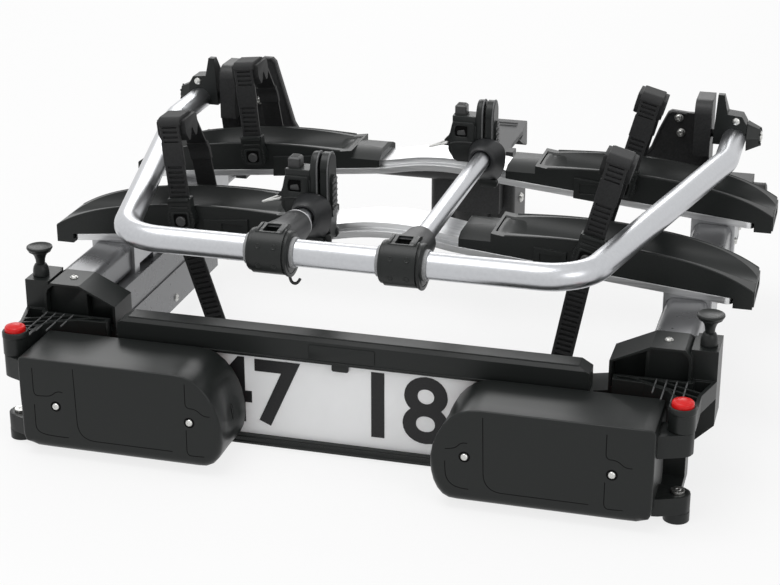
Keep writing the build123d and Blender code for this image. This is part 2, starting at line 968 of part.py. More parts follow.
def claw_body(centre_x, claw_y, jaw_offset):
    """Fixed jaw with the hub on the arm, the moving jaw's pin and the lock housing."""
    plate_x = centre_x + jaw_offset
    plate_right = plate_x + claw_plate_thick
    lock_x = plate_x - lock_width
    pin_x = plate_right + claw_slit + jaw_thick / 2
    pin_z = bar_z - claw_low + jaw_pin_inset
    with BuildPart() as made:
        with BuildSketch(Plane.YZ.offset(plate_x)):
            jaw_outline(claw_y)
        extrude(amount=claw_plate_thick)
        hub_start = claw_y - claw_hub_length
        rod((centre_x, hub_start, bar_z), (centre_x, claw_y - rest_gap, bar_z), claw_hub_radius)
        block((plate_x, plate_right), (claw_y - 6, claw_y + 4), (bar_z - 14, bar_z + 14))
        side_plate(
            [
                (claw_y, bar_z + lock_low),
                (claw_y + claw_depth - 6, bar_z + lock_low),
                (claw_y + claw_depth - 6, bar_z + lock_top),
                (claw_y + 8, bar_z + lock_top),
                (claw_y, bar_z + lock_top - 14),
            ],
            (lock_x, plate_x),
        )
        for ear_y in (claw_y, claw_y + claw_depth - jaw_ear_length):
            ear_end = ear_y + jaw_ear_length
            rod((pin_x, ear_y, pin_z), (pin_x, ear_end, pin_z), jaw_ear_radius)
            block(
                (plate_right - 1, pin_x),
                (ear_y, ear_end),
                (pin_z - jaw_ear_radius, pin_z + jaw_ear_radius),
            )
        rod((pin_x, claw_y + 1, pin_z), (pin_x, claw_y + claw_depth - 1, pin_z), jaw_pin_radius)
        prism(
            [
                (lock_x, bar_z + 22),
                (lock_x - 8, bar_z + 12),
                (lock_x - 8, bar_z + 5),
                (lock_x, bar_z + 5),
            ],
            (claw_y + 9, claw_y + 19),
        )
        block(
            (lock_x + 5, lock_x + 21),
            (claw_y - 1, claw_y + 7),
            (bar_z + 16, bar_z + 30),
            Mode.SUBTRACT,
        )
        button_x = lock_x + 13
        button_y = claw_y + claw_depth / 2 - 1
        block(
            (button_x - button_side / 2 - slide_gap, button_x + button_side / 2 + slide_gap),
            (button_y - button_side / 2 - slide_gap, button_y + button_side / 2 + slide_gap),
            (bar_z + lock_top - button_stem, bar_z + lock_top + 1),
            Mode.SUBTRACT,
        )
        rod(
            (centre_x, claw_y - claw_hub_length - 1, bar_z),
            (centre_x, claw_y - 1, bar_z),
            arm_radius + pin_gap,
            Mode.SUBTRACT,
        )
        rod(
            (lock_x - 4, claw_y, bar_z + 9),
            (lock_x - 4, claw_y + claw_depth, bar_z + 9),
            ring_wire / 2 + pin_gap,
            Mode.SUBTRACT,
        )
    return made


def claw_jaw(centre_x, claw_y, jaw_offset):
    """Moving jaw: the same pad, turning on a pin at its foot."""
    jaw_x = centre_x + jaw_offset + claw_plate_thick + claw_slit
    pin_z = bar_z - claw_low + jaw_pin_inset
    clear = jaw_ear_length + slide_gap
    with BuildPart() as made:
        with BuildSketch(Plane.YZ.offset(jaw_x)):
            jaw_outline(claw_y)
        extrude(amount=jaw_thick)
        fillet(made.faces().sort_by(Axis.X)[-1].edges(), 3)
        with BuildSketch(Plane.YZ.offset(jaw_x + jaw_thick - 1)):
            with Locations((claw_y + claw_depth / 2, bar_z + 14)):
                SlotCenterToCenter(34, 18, rotation=90)
        extrude(amount=1 + jaw_rim)
        far = claw_y + claw_depth
        for low_y, high_y in ((claw_y - 1, claw_y + clear), (far - clear, far + 1)):
            block(
                (jaw_x - 1, jaw_x + jaw_thick + 1),
                (low_y, high_y),
                (pin_z - 9, pin_z + jaw_ear_radius + 2),
                Mode.SUBTRACT,
            )
        pin_x = jaw_x + jaw_thick / 2
        rod((pin_x, claw_y, pin_z), (pin_x, far, pin_z), jaw_pin_radius + pin_gap, Mode.SUBTRACT)
    return made


def claw_button(centre_x, claw_y, jaw_offset):
    button_x = centre_x + jaw_offset - lock_width + 13
    button_y = claw_y + claw_depth / 2 - 1
    low = bar_z + lock_top - button_stem + button_travel + rest_gap
    with BuildPart() as made:
        with BuildSketch(Plane.XY.offset(low)):
            with Locations((button_x, button_y)):
                RectangleRounded(button_side, button_side, 2)
        extrude(amount=bar_z + lock_top + button_head - low)
        chamfer(made.faces().sort_by(Axis.Z)[-1].edges(), 2)
    return made


def claw_ring(centre_x, claw_y, jaw_offset):
    """Triangular wire bail hanging out from the lock housing."""
    hinge_x = centre_x + jaw_offset - lock_width - 4
    hinge_height = bar_z + 9
    near = claw_y + 5
    far = claw_y + 23
    tip = (hinge_x - ring_reach, (near + far) / 2, hinge_height - ring_height / 2)
    corners = [(hinge_x, near, hinge_height), (hinge_x, far, hinge_height), tip]
    with BuildPart() as made:
        for index, start in enumerate(corners):
            rod(start, corners[(index + 1) % 3], ring_wire / 2)
            with Locations(start):
                Sphere(ring_wire / 2)
    return made


# Lamp board

def slide_tubes():
    """Inner tubes of the lamp board, fixed in the brackets and sliding in the side members."""
    width = member_width - 2 * member_wall - 2 * slide_gap
    height = member_height - 2 * member_wall - 2 * slide_gap
    corner = member_corner - member_wall
    with BuildPart() as made:
        with BuildSketch(upright(inner_far_y)):
            with Locations((member_x, member_z)):
                tube_outline(width, height, corner, inner_wall)
        extrude(amount=inner_far_y - inner_near_y)
        mirror(about=Plane.YZ)
    return made


def arm_outline():
    """Bracket arm seen from above: a wedge that narrows to the lamp hinge."""
    back_y = lamp_face_y + lamp_depth
    return [
        (bracket_waist_x + 6, bracket_near_y),
        (bracket_waist_x + 6, bracket_near_y - 14),
        (bracket_waist_x + 40, bracket_near_y - 16),
        (pivot_x - 22, back_y + 8),
        (pivot_x - barrel_radius, back_y - 4),
        (pivot_x - barrel_radius, pivot_y),
        (pivot_x + barrel_radius, pivot_y),
        (pivot_x + barrel_radius, back_y + 4),
        (box_outer_x, box_near_y),
        (bracket_outer_x, box_near_y),
        (bracket_outer_x, bracket_near_y),
    ]


def end_bracket(side):
    """Moulding at each end of the lamp board: body, plunger box, ribbed arm and lower foot."""
    tube_width = member_width - 2 * member_wall - 2 * slide_gap
    tube_height = member_height - 2 * member_wall - 2 * slide_gap
    with BuildPart() as made:
        prism(
            [
                (bracket_outer_x, bracket_low),
                (bracket_outer_x, bracket_top - 8),
                (bracket_outer_x - 8, bracket_top),
                (bracket_outer_x - 44, bracket_top),
                (bracket_waist_x, bracket_top - 21),
                (bracket_waist_x, arm_low),
                (bracket_inner_x, arm_low - 4),
                (bracket_inner_x, bracket_low + 20),
                (bracket_inner_x + 38, bracket_low),
            ],
            (bracket_near_y, bracket_far_y),
        )
        for inner_x, far_y in ((bracket_outer_x - 2, bracket_far_y), (box_inner_x, box_far_y)):
            prism(
                [
                    (inner_x, box_low - box_slope),
                    (box_outer_x, box_low),
                    (box_outer_x, box_top),
                    (inner_x, box_top),
                ],
                (box_near_y, far_y),
            )
        prism(
            [
                (bracket_waist_x + bracket_skin, arm_low + 4),
                (bracket_outer_x - bracket_skin, arm_low + 4),
                (bracket_outer_x - bracket_skin, bracket_top - 14),
                (bracket_outer_x - bracket_skin - 2, bracket_top - 8),
                (bracket_outer_x - bracket_skin - 8, bracket_top - bracket_skin),
                (bracket_outer_x - 43, bracket_top - bracket_skin),
                (bracket_waist_x + bracket_skin, bracket_top - 22),
            ],
            (bracket_near_y - 1, inner_near_y),
            Mode.SUBTRACT,
        )
        block(
            (bracket_inner_x + 6, bracket_inner_x + 60),
            (bracket_near_y - 1, bracket_near_y + 30),
            (bracket_low + 12, arm_low - 8),
            Mode.SUBTRACT,
        )
        slab(arm_outline(), (arm_low, arm_top))
        with BuildSketch(Plane.XY.offset(arm_low + arm_floor)):
            with BuildLine():
                Polyline(*arm_outline(), close=True)
            make_face()
            offset(amount=-arm_skin, mode=Mode.REPLACE)
            run = pivot_y - bracket_near_y
            for rib in range(arm_ribs):
                with Locations((member_x, bracket_near_y + run * (rib + 0.7) / (arm_ribs + 1))):
                    Rectangle(140, 2.4, rotation=-24, mode=Mode.SUBTRACT)
        extrude(amount=arm_top, mode=Mode.SUBTRACT)
        rod((pivot_x, pivot_y, barrel_low), (pivot_x, pivot_y, barrel_top), barrel_radius)
        head_floor = red_head_low - red_travel - rest_gap
        rod((pivot_x, pivot_y, head_floor), (pivot_x, pivot_y, 60), red_head_radius + pin_gap, Mode.SUBTRACT)
        stem_floor = red_stem_low - red_travel - rest_gap
        stem_hole = red_stem_radius + pin_gap
        rod((pivot_x, pivot_y, stem_floor), (pivot_x, pivot_y, 60), stem_hole, Mode.SUBTRACT)
        foot_top = lower_lug_low - rest_gap
        foot_low = foot_top - foot_thick
        rod((pivot_x, pivot_y, foot_low), (pivot_x, pivot_y, foot_top), foot_radius)
        strut_x = member_x - 14.5
        strut_far = bracket_near_y + 30
        block((pivot_x - foot_radius, bracket_outer_x), (pivot_y, strut_far), (foot_low, foot_top))
        block((strut_x, bracket_outer_x), (lamp_face_y + lamp_depth + 2, strut_far), (foot_low, foot_top))
        block((strut_x, bracket_outer_x), (bracket_near_y, strut_far), (foot_low, bracket_low))
        rod(
            (pivot_x, pivot_y, foot_low + 2),
            (pivot_x, pivot_y, foot_top + 1),
            lower_pin_radius,
            Mode.SUBTRACT,
        )
        rod(
            (pivot_x, pivot_y, barrel_low - 1),
            (pivot_x, pivot_y, barrel_low + 5),
            upper_pin_radius,
            Mode.SUBTRACT,
        )
        with BuildSketch(upright(bracket_far_y + 1)):
            with Locations((member_x, member_z)):
                RectangleRounded(tube_width, tube_height, member_corner - member_wall)
        extrude(amount=bracket_far_y + 1 - inner_near_y, mode=Mode.SUBTRACT)
        rod(
            (plunger_x, plunger_y, plunger_low - rest_gap),
            (plunger_x, plunger_y, box_top + 1),
            plunger_radius + pin_gap,
            Mode.SUBTRACT,
        )
        to_side(side)
    return made


def lamp_pivots():
    """Short pins that the lamps swing on, fixed in the brackets."""
    with BuildPart() as made:
        rod(
            (pivot_x, pivot_y, upper_lug_low + 2),
            (pivot_x, pivot_y, barrel_low + 5),
            upper_pin_radius,
        )
        foot_top = lower_lug_low - rest_gap
        rod(
            (pivot_x, pivot_y, foot_top - foot_thick + 2),
            (pivot_x, pivot_y, lower_lug_top + 1),
            lower_pin_radius,
        )
        rod(
            (pivot_x, pivot_y, lower_lug_top + rest_gap),
            (pivot_x, pivot_y, lower_lug_top + 3),
            lower_pin_radius + 1.5,
        )
        mirror(about=Plane.YZ)
    return made


def release_button(side):
    """Red button in the top of the lamp hinge."""
    with BuildPart() as made:
        rod((pivot_x, pivot_y, red_head_low), (pivot_x, pivot_y, red_head_top), red_head_radius)
        fillet(made.faces().sort_by(Axis.Z)[-1].edges(), 3)
        rod((pivot_x, pivot_y, red_stem_low), (pivot_x, pivot_y, red_head_low + 1), red_stem_radius)
        to_side(side)
    return made


def plunger(side):
    """Sprung locking plunger with a mushroom head."""
    with BuildPart() as made:
        rod((plunger_x, plunger_y, plunger_low), (plunger_x, plunger_y, plunger_disc_low + 1), plunger_radius)
        rod(
            (plunger_x, plunger_y, plunger_disc_low),
            (plunger_x, plunger_y, plunger_disc_low + plunger_disc_thick),
            plunger_disc_radius,
        )
        fillet(made.faces().sort_by(Axis.Z)[-1].edges(), 2)
        with Locations((plunger_x, plunger_y, plunger_disc_low - plunger_cone / 2)):
            Cone(plunger_radius, plunger_disc_radius - 1, plunger_cone)
        rod(
            (plunger_x, plunger_y, box_top + rest_gap),
            (plunger_x, plunger_y, box_top + rest_gap + plunger_collar_height),
            plunger_collar_radius,
        )
        to_side(side)
    return made


def lamp_outline():
    """Lamp seen from behind: square at its hinge, with one long curve round its inner end."""
    corner_x = lamp_outer_x - lamp_corner
    corner_z = lamp_low_z + lamp_corner
    bow = lamp_corner * cos(radians(45))
    with BuildLine() as edge:
        shoulder = (lamp_inner_x + 53, lamp_top_z)
        heel = (lamp_inner_x + 23, lamp_low_z)
        Spline(
            shoulder,
            (lamp_inner_x + 33, lamp_top_z - 5.5),
            (lamp_inner_x + 17, lamp_top_z - 18.5),
            (lamp_inner_x + 7, lamp_top_z - 35.5),
            (lamp_inner_x + 1.5, lamp_top_z - 51.5),
            (lamp_inner_x, lamp_low_z + 41),
            (lamp_inner_x + 1.5, lamp_low_z + 23.5),
            (lamp_inner_x + 8, lamp_low_z + 9.5),
            heel,
            tangents=((-1, 0), (1, 0)),
        )
        Line(heel, (corner_x, lamp_low_z))
        ThreePointArc((corner_x, lamp_low_z), (corner_x + bow, corner_z - bow), (lamp_outer_x, corner_z))
        Line((lamp_outer_x, corner_z), (lamp_outer_x, lamp_top_z))
        Line((lamp_outer_x, lamp_top_z), shoulder)
    make_face(edge.edges())


def lamp_hollow():
    """Inside of the lamp's shell, which the lens fills at the open side."""
    inner = lamp_inner_x + lamp_wall
    outer = lamp_outer_x - lamp_wall
    top = lamp_top_z - lamp_wall
    low = lamp_low_z + lamp_wall
    with BuildLine() as edge:
        Polyline(
            (outer, top),
            (inner + 50, top),
            (inner + 33, top - 6),
            (inner + 18, top - 18.5),
            (inner + 8, top - 34.5),
            (inner + 2, top - 50),
            (inner + 0.2, low + 38),
            (inner + 2, low + 22),
            (inner + 8, low + 10),
            (inner + 22, low),
            (outer - lamp_corner, low),
            (outer, low + lamp_corner),
            close=True,
        )
    make_face(edge.edges())


def lamp_lines(left, right):
    """Lines moulded in a lamp's back between two distances; both lamps have them the same way round."""
    top = lamp_top_z
    return [
        [(left + 17, top - 11), (left + 17, top - 44.5), (left + 37.5, top - 43), (left + 45.5, top - 35.5)],
        [(left + 17, top - 55.5), (left + 17, top - 85.5), (left + 26, top - 93), (left + 56, top - 92)],
        [(left + 66, top - 7), (left + 68, top - 92.5), (left + 180, top - 92.5)],
        [
            (right - 40, top - 9.5),
            (right - 40, top - 37.5),
            (right - 28, top - 37.5),
            (right - 20, top - 45.5),
        ],
        [(right - 40, top - 64.5), (right - 40, top - 95), (right - 20, top - 94.5)],
    ]


def lamp_housing(side):
    """Back shell of a tail lamp, open at the lens side, with two hinge lugs."""
    back_y = lamp_face_y + lamp_depth
    with BuildPart() as made:
        with BuildSketch(upright(back_y)):
            lamp_outline()
        extrude(amount=lamp_depth)
        fillet(made.faces().sort_by(Axis.Y)[0].edges(), lamp_edge)
        with BuildSketch(upright(back_y)):
            lamp_hollow()
        extrude(amount=lamp_depth - lamp_back_wall, mode=Mode.SUBTRACT)
        for low, top in ((upper_lug_low, upper_lug_top), (lower_lug_low, lower_lug_top)):
            slab(
                [
                    (lamp_outer_x - lamp_wall, pivot_y - lug_root_half),
                    (lamp_outer_x, pivot_y - lug_root_half),
                    (pivot_x + 4, pivot_y - lug_radius + 0.6),
                    (pivot_x, pivot_y + lug_radius),
                    (lamp_outer_x - lamp_wall, pivot_y + lug_radius),
                ],
                (low, top),
            )
            rod((pivot_x, pivot_y, low), (pivot_x, pivot_y, top), lug_radius)
        pin_low = upper_lug_low + 2 - rest_gap
        rod(
            (pivot_x, pivot_y, pin_low),
            (pivot_x, pivot_y, upper_lug_top + 1),
            upper_pin_radius + pin_gap,
            Mode.SUBTRACT,
        )
        rod(
            (pivot_x, pivot_y, lower_lug_low - 1),
            (pivot_x, pivot_y, lower_lug_top + 1),
            lower_pin_radius + pin_gap,
            Mode.SUBTRACT,
        )
        to_side(side)
        if side < 0:
            left = -lamp_outer_x
            right = -lamp_inner_x
        else:
            left = lamp_inner_x + lamp_step
            right = lamp_outer_x - lamp_hinge_step
        for line in lamp_lines(left, right):
            with BuildSketch(upright(lamp_face_y + groove_depth)) as groove:
                with BuildLine() as path:
                    Polyline(*line)
                trace(path.edges(), groove_width)
            extrude(groove.sketch, amount=groove_depth + 1, mode=Mode.SUBTRACT)
        for recess_x in (left + 43, right - 36):
            rod(
                (recess_x, lamp_face_y - 1, lamp_top_z - 55),
                (recess_x, lamp_face_y + screw_recess_depth, lamp_top_z - 55),
                screw_recess_radius,
                Mode.SUBTRACT,
            )
    return made


def lamp_lens(side):
    """Stepped lens plate closing the open side of the housing."""
    third = (lamp_outer_x - lamp_inner_x) / 3
    back_y = lamp_face_y + lamp_depth
    with BuildPart() as made:
        with BuildSketch(upright(back_y - 1)):
            lamp_hollow()
        extrude(amount=lens_thick)
        with BuildSketch(upright(back_y)):
            lamp_hollow()
            offset(amount=-lens_inset, kind=Kind.INTERSECTION, mode=Mode.REPLACE)
            for column in (1, 2):
                with Locations((lamp_inner_x + column * third, (lamp_top_z + lamp_low_z) / 2)):
                    Rectangle(lens_inset, lamp_top_z - lamp_low_z, mode=Mode.SUBTRACT)
        extrude(amount=lens_step)
        to_side(side)
    return made


def plate_holder():
    """Number plate frame: top bar, back panel, bottom lip and lugs to the brackets."""
    plate_slot = plate_thick
    with BuildPart() as made:
        prism(
            [
                (-holder_half, holder_bar_low),
                (holder_half, holder_bar_low),
                (holder_half, holder_top - 7),
                (holder_half - 12, holder_top),
                (-holder_half + 12, holder_top),
                (-holder_half, holder_top - 7),
            ],
            (holder_near_y, holder_far_y),
        )
        top_edge = made.edges().filter_by(Axis.X).group_by(Axis.Z)[-1].sort_by(Axis.Y)[0]
        chamfer(top_edge, 5)
        block(
            (-holder_half, holder_half),
            (holder_back_y, holder_back_y + holder_back_thick),
            (holder_low, holder_bar_low + 1),
        )
        block((-holder_half, holder_half), (holder_near_y, holder_back_y + 1), (holder_low, holder_lip_top))
        plate_low = holder_lip_top - 2
        block(
            (-plate_half, plate_half),
            (holder_back_y - plate_slot, holder_back_y),
            (plate_low, plate_low + plate_height),
            Mode.SUBTRACT,
        )
        for side, _ in sides:
            block(
                (side * bracket_inner_x, side * (bracket_inner_x + holder_lug_width)),
                (holder_back_y + holder_back_thick, bracket_near_y),
                (-40, 10),
            )
    return made


def number_plate():
    plate_low = holder_lip_top - 2
    with BuildPart() as made:
        block(
            (-plate_half, plate_half),
            (holder_back_y - plate_thick, holder_back_y),
            (plate_low, plate_low + plate_height),
        )
    return made


# Coupling

def coupling_arm():
    """Welded box from the cross tube to the coupling body."""
    with BuildPart() as made:
        block(
            (-arm_half, arm_half),
            (cross_y, coupling_near_y),
            (coupling_arm_low, cross_z + cross_radius + 4),
        )
        rod((-arm_half - 1, cross_y, cross_z), (arm_half + 1, cross_y, cross_z), cross_radius, Mode.SUBTRACT)
    return made


def coupling_body():
    """Cast body with the ball socket, a tapered nose and ears for the lever."""
    socket = ball_radius + ball_gap
    with BuildPart() as made:
        across = (-coupling_half, coupling_half)
        block(across, (coupling_near_y, coupling_far_y), (coupling_low, coupling_top))
        fillet(made.edges().filter_by(Axis.Z), 10)
        with BuildSketch(Plane.XY.offset(coupling_low)):
            with Locations((0, coupling_near_y + nose_low_radius - nose_reach)):
                Circle(nose_low_radius)
        with BuildSketch(Plane.XY):
            with Locations((0, coupling_near_y + nose_top_radius - nose_reach)):
                Circle(nose_top_radius)
        loft()
        rod((0, 0, coupling_low - 1), (0, 0, 0), socket, Mode.SUBTRACT)
        Sphere(socket, mode=Mode.SUBTRACT)
        for side in (-1, 1):
            inner = side * (lever_neck_half + slide_gap)
            outer = side * (lever_neck_half + slide_gap + ear_thick)
            side_plate(
                [
                    (lever_pivot_y - 18, coupling_top - 1),
                    (lever_pivot_y + 18, coupling_top - 1),
                    (lever_pivot_y + 10, lever_pivot_z + 12),
                    (lever_pivot_y - 10, lever_pivot_z + 12),
                ],
                (inner, outer),
            )
            rod(
                (inner - side, lever_pivot_y, lever_pivot_z),
                (outer + side, lever_pivot_y, lever_pivot_z),
                lever_pin_radius + pin_gap,
                Mode.SUBTRACT,
            )
    return made


def coupling_lever():
    """Paddle with its pivot pin, a turned-down end and side gussets."""
    with BuildPart() as made:
        run_y = lever_top_y - lever_pivot_y
        rise = lever_top_z - lever_pivot_z
        top_point = Vector(0, lever_top_y, lever_top_z)
        pivot_point = Vector(0, lever_pivot_y, lever_pivot_z)
        direction = (top_point - pivot_point).normalized()
        face = Plane(origin=pivot_point, x_dir=(1, 0, 0), z_dir=Vector(0, -direction.Z, direction.Y))
        reach = (run_y**2 + rise**2) ** 0.5
        with BuildSketch(face.offset(-lever_thick / 2)):
            with BuildLine():
                Polyline(
                    (-lever_neck_half, 0),
                    (lever_neck_half, 0),
                    (lever_neck_half, lever_neck_length),
                    (lever_half, reach - 30),
                    (lever_half, reach),
                    (-lever_half, reach),
                    (-lever_half, reach - 30),
                    (-lever_neck_half, lever_neck_length),
                    close=True,
                )
            make_face()
        extrude(amount=lever_thick)
        side_plate(
            [
                (lever_top_y - 5, lever_top_z),
                (lever_top_y + 1, lever_top_z),
                (lever_top_y + 3, lever_top_z - lever_lip),
                (lever_top_y - 3, lever_top_z - lever_lip),
            ],
            (-lever_half, lever_half),
        )
        for side in (-1, 1):
            side_plate(
                [
                    (lever_top_y - 4, lever_top_z - 3),
                    (lever_top_y - 1, lever_top_z - lever_lip),
                    (lever_top_y - 40, lever_top_z - 14),
                ],
                (side * (lever_half - 4), side * lever_half),
            )
        rod(
            (-lever_neck_half - ear_thick, lever_pivot_y, lever_pivot_z),
            (lever_neck_half + ear_thick, lever_pivot_y, lever_pivot_z),
            lever_pin_radius,
        )
        rod(
            (-lever_neck_half, lever_pivot_y, lever_pivot_z),
            (lever_neck_half, lever_pivot_y, lever_pivot_z),
            lever_pin_radius + 4,
        )
    return made


save(rail(near_rail_y), "near_rail")
save(rail(far_rail_y), "far_rail")
save(side_members(), "side_members")
save(lower_channels(), "lower_channels")
save(rail_saddles(), "rail_saddles")
save(rear_cross_tube(), "rear_cross_tube")
save(hinge_towers(), "hinge_towers")
save(coupling_arm(), "coupling_arm")
save(coupling_body(), "coupling_body")
save(coupling_lever(), "coupling_lever")
save(u_frame(), "u_frame")
save(frame_tail_fittings(), "frame_tail_fittings")

for arm, clamp_x, sleeve_length, claw_y, jaw_offset in (
    ("short", short_clamp_x, short_sleeve_length, short_claw_y, short_jaw_offset),
    ("long", long_clamp_x, long_sleeve_length, long_claw_y, long_jaw_offset),
):
    save(clamp_liner(clamp_x), arm + "_clamp_liner")
    save(bar_clamp(clamp_x, sleeve_length), arm + "_bar_clamp")
    save(arm_tube(clamp_x, claw_y), arm + "_arm_tube")
    save(claw_body(clamp_x, claw_y, jaw_offset), arm + "_claw_body")
    save(claw_jaw(clamp_x, claw_y, jaw_offset), arm + "_claw_jaw")
    save(claw_button(clamp_x, claw_y, jaw_offset), arm + "_claw_button")
    save(claw_ring(clamp_x, claw_y, jaw_offset), arm + "_claw_ring")

save(slide_tubes(), "slide_tubes")
save(lamp_pivots(), "lamp_pivots")
save(plate_holder(), "plate_holder")
save(number_plate(), "number_plate")

for side, hand in sides:
    save(hinge_knob(side), "hinge_knob_" + hand)
    save(end_bracket(side), "end_bracket_" + hand)
    save(release_button(side), "release_button_" + hand)
    save(plunger(side), "plunger_" + hand)
    save(lamp_housing(side), "lamp_housing_" + hand)
    save(lamp_lens(side), "lamp_lens_" + hand)
    save(strap_tail(side), "strap_tail_" + hand)
    for place, centre_y in (("near", near_rail_y), ("far", far_rail_y)):
        save(wheel_tray(side, centre_y), "tray_" + place + "_" + hand)
        save(wheel_strap(side, centre_y), "strap_" + place + "_" + hand)
        save(strap_buckle(side, centre_y), "buckle_" + place + "_" + hand)
        save(buckle_button(side, centre_y), "buckle_button_" + place + "_" + hand)
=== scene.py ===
from math import copysign, cos, exp, pi, radians, sin, sqrt, tan

import bmesh
import bpy
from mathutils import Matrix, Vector


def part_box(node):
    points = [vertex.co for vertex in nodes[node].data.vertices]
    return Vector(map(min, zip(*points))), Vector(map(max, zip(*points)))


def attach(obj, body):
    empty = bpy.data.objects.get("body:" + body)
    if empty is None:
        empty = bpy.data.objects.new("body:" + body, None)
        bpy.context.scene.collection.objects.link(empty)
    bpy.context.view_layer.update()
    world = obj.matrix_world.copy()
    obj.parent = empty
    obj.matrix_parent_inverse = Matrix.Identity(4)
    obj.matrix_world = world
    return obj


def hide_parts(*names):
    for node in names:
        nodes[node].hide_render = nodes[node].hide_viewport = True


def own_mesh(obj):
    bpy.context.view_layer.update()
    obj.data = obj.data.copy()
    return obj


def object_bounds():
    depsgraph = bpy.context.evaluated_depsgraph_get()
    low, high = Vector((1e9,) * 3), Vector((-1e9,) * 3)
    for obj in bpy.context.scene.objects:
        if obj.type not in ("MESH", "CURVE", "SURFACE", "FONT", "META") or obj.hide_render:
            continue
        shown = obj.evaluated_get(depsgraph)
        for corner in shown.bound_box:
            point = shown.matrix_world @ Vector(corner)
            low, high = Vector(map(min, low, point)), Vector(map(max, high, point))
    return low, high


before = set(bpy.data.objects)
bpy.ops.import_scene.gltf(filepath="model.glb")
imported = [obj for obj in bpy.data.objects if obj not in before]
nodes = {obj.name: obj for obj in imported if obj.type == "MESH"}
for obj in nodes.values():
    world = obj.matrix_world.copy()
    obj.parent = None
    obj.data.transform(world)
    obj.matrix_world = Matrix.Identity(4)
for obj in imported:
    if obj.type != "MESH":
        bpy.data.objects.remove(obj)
cad_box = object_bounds()


# The view, the lamps and the floor.
# The rack stands on its own on a pale studio floor, seen from behind the vehicle's right corner
# and from above, under two large soft lamps, one more behind it, and an even white room.
view_place = (0.5469, -2.4611, 0.8599)
view_target = (0.0742, -0.745, 0.1479)
view_lens = 86.3
floor_drop = 0.001
floor_reach = 40
floor_shade = 0.9
floor_seen_share = 0.8
room_light = 0.55


def added(name, data):
    """New object in the scene for a mesh, a curve, a lamp or a camera."""
    made = bpy.data.objects.new(name, data)
    bpy.context.collection.objects.link(made)
    return made


def aim(thing, place, target):
    """Puts a camera or a lamp at one point and turns it to another."""
    thing.location = place
    thing.rotation_euler = (Vector(target) - Vector(place)).to_track_quat("-Z", "Y").to_euler()


def soft_lamp(name, place, target, width, depth, power):
    """Large rectangular studio lamp that the camera doesn't see."""
    data = bpy.data.lights.new(name, "AREA")
    data.shape = "RECTANGLE"
    data.size = width
    data.size_y = depth
    data.energy = power
    lamp = added(name, data)
    aim(lamp, place, target)
    lamp.visible_camera = False


def light_and_show(owner, out_kind, lit, seen, seen_share):
    """One grey shader lights the scene; camera, reflections and glass see a share of another."""
    owner.use_nodes = True
    tree = owner.node_tree
    tree.nodes.clear()
    link = tree.links.new
    rays = tree.nodes.new("ShaderNodeLightPath")
    shown = rays.outputs["Is Camera Ray"]
    for kind in ("Is Glossy Ray", "Is Transmission Ray"):
        either = tree.nodes.new("ShaderNodeMath")
        either.operation = "MAXIMUM"
        link(shown, either.inputs[0])
        link(rays.outputs[kind], either.inputs[1])
        shown = either.outputs[0]
    share = tree.nodes.new("ShaderNodeMath")
    share.operation = "MULTIPLY"
    share.inputs[1].default_value = seen_share
    link(shown, share.inputs[0])
    mix = tree.nodes.new("ShaderNodeMixShader")
    link(share.outputs[0], mix.inputs["Fac"])
    for spot, (kind, shade, *strength) in enumerate((lit, seen), 1):
        shader = tree.nodes.new(kind)
        shader.inputs["Color"].default_value = (shade, shade, shade, 1)
        if strength:
            shader.inputs["Strength"].default_value = strength[0]
        link(shader.outputs[0], mix.inputs[spot])
    link(mix.outputs["Shader"], tree.nodes.new(out_kind).inputs["Surface"])


camera_data = bpy.data.cameras.new("view")
camera_data.lens = view_lens
camera_data.sensor_width = 36
camera_data.clip_end = 200
camera = added("view", camera_data)
aim(camera, view_place, view_target)
bpy.context.scene.camera = camera
bpy.context.scene.view_settings.view_transform = "Standard"

soft_lamp("overhead_lamp", (-0.6, -0.9, 2.6), (0, -0.4, 0), 2.2, 1.4, 34)
soft_lamp("side_lamp", (2.4, -2.2, 1.5), (0, -0.5, 0), 1.2, 1.2, 12)
soft_lamp("back_lamp", (-0.9, 2.6, 1.7), (0, -0.4, 0), 2.4, 0.9, 22)

room = bpy.data.worlds.new("room")
bpy.context.scene.world = room
paint = "ShaderNodeBackground"
light_and_show(room, "ShaderNodeOutputWorld", (paint, 1, room_light), (paint, 1, 1), 1)

floor_z = cad_box[0][2] - floor_drop
floor_mesh = bpy.data.meshes.new("floor")
floor_corners = [
    (x * floor_reach, y * floor_reach, floor_z) for x, y in ((-1, -1), (1, -1), (1, 1), (-1, 1))
]
floor_mesh.from_pydata(floor_corners, [], [(0, 1, 2, 3)])
added("floor", floor_mesh)
floor_finish = bpy.data.materials.new("studio_floor")
light_and_show(
    floor_finish, "ShaderNodeOutputMaterial", ("ShaderNodeBsdfDiffuse", floor_shade),
    ("ShaderNodeEmission", 1, 1), floor_seen_share,
)
floor_mesh.materials.append(floor_finish)


# Side members, sliding tubes and lower channels.
# Rectangular steel tubes run forward on each side, with a channel welded below each one; a slightly
# smaller tube slides in each upper one. All have dark grey paint; a screw goes into each channel.
hands = ((-1, "left"), (1, "right"))
channel_screw_at = (317, -368, -46)


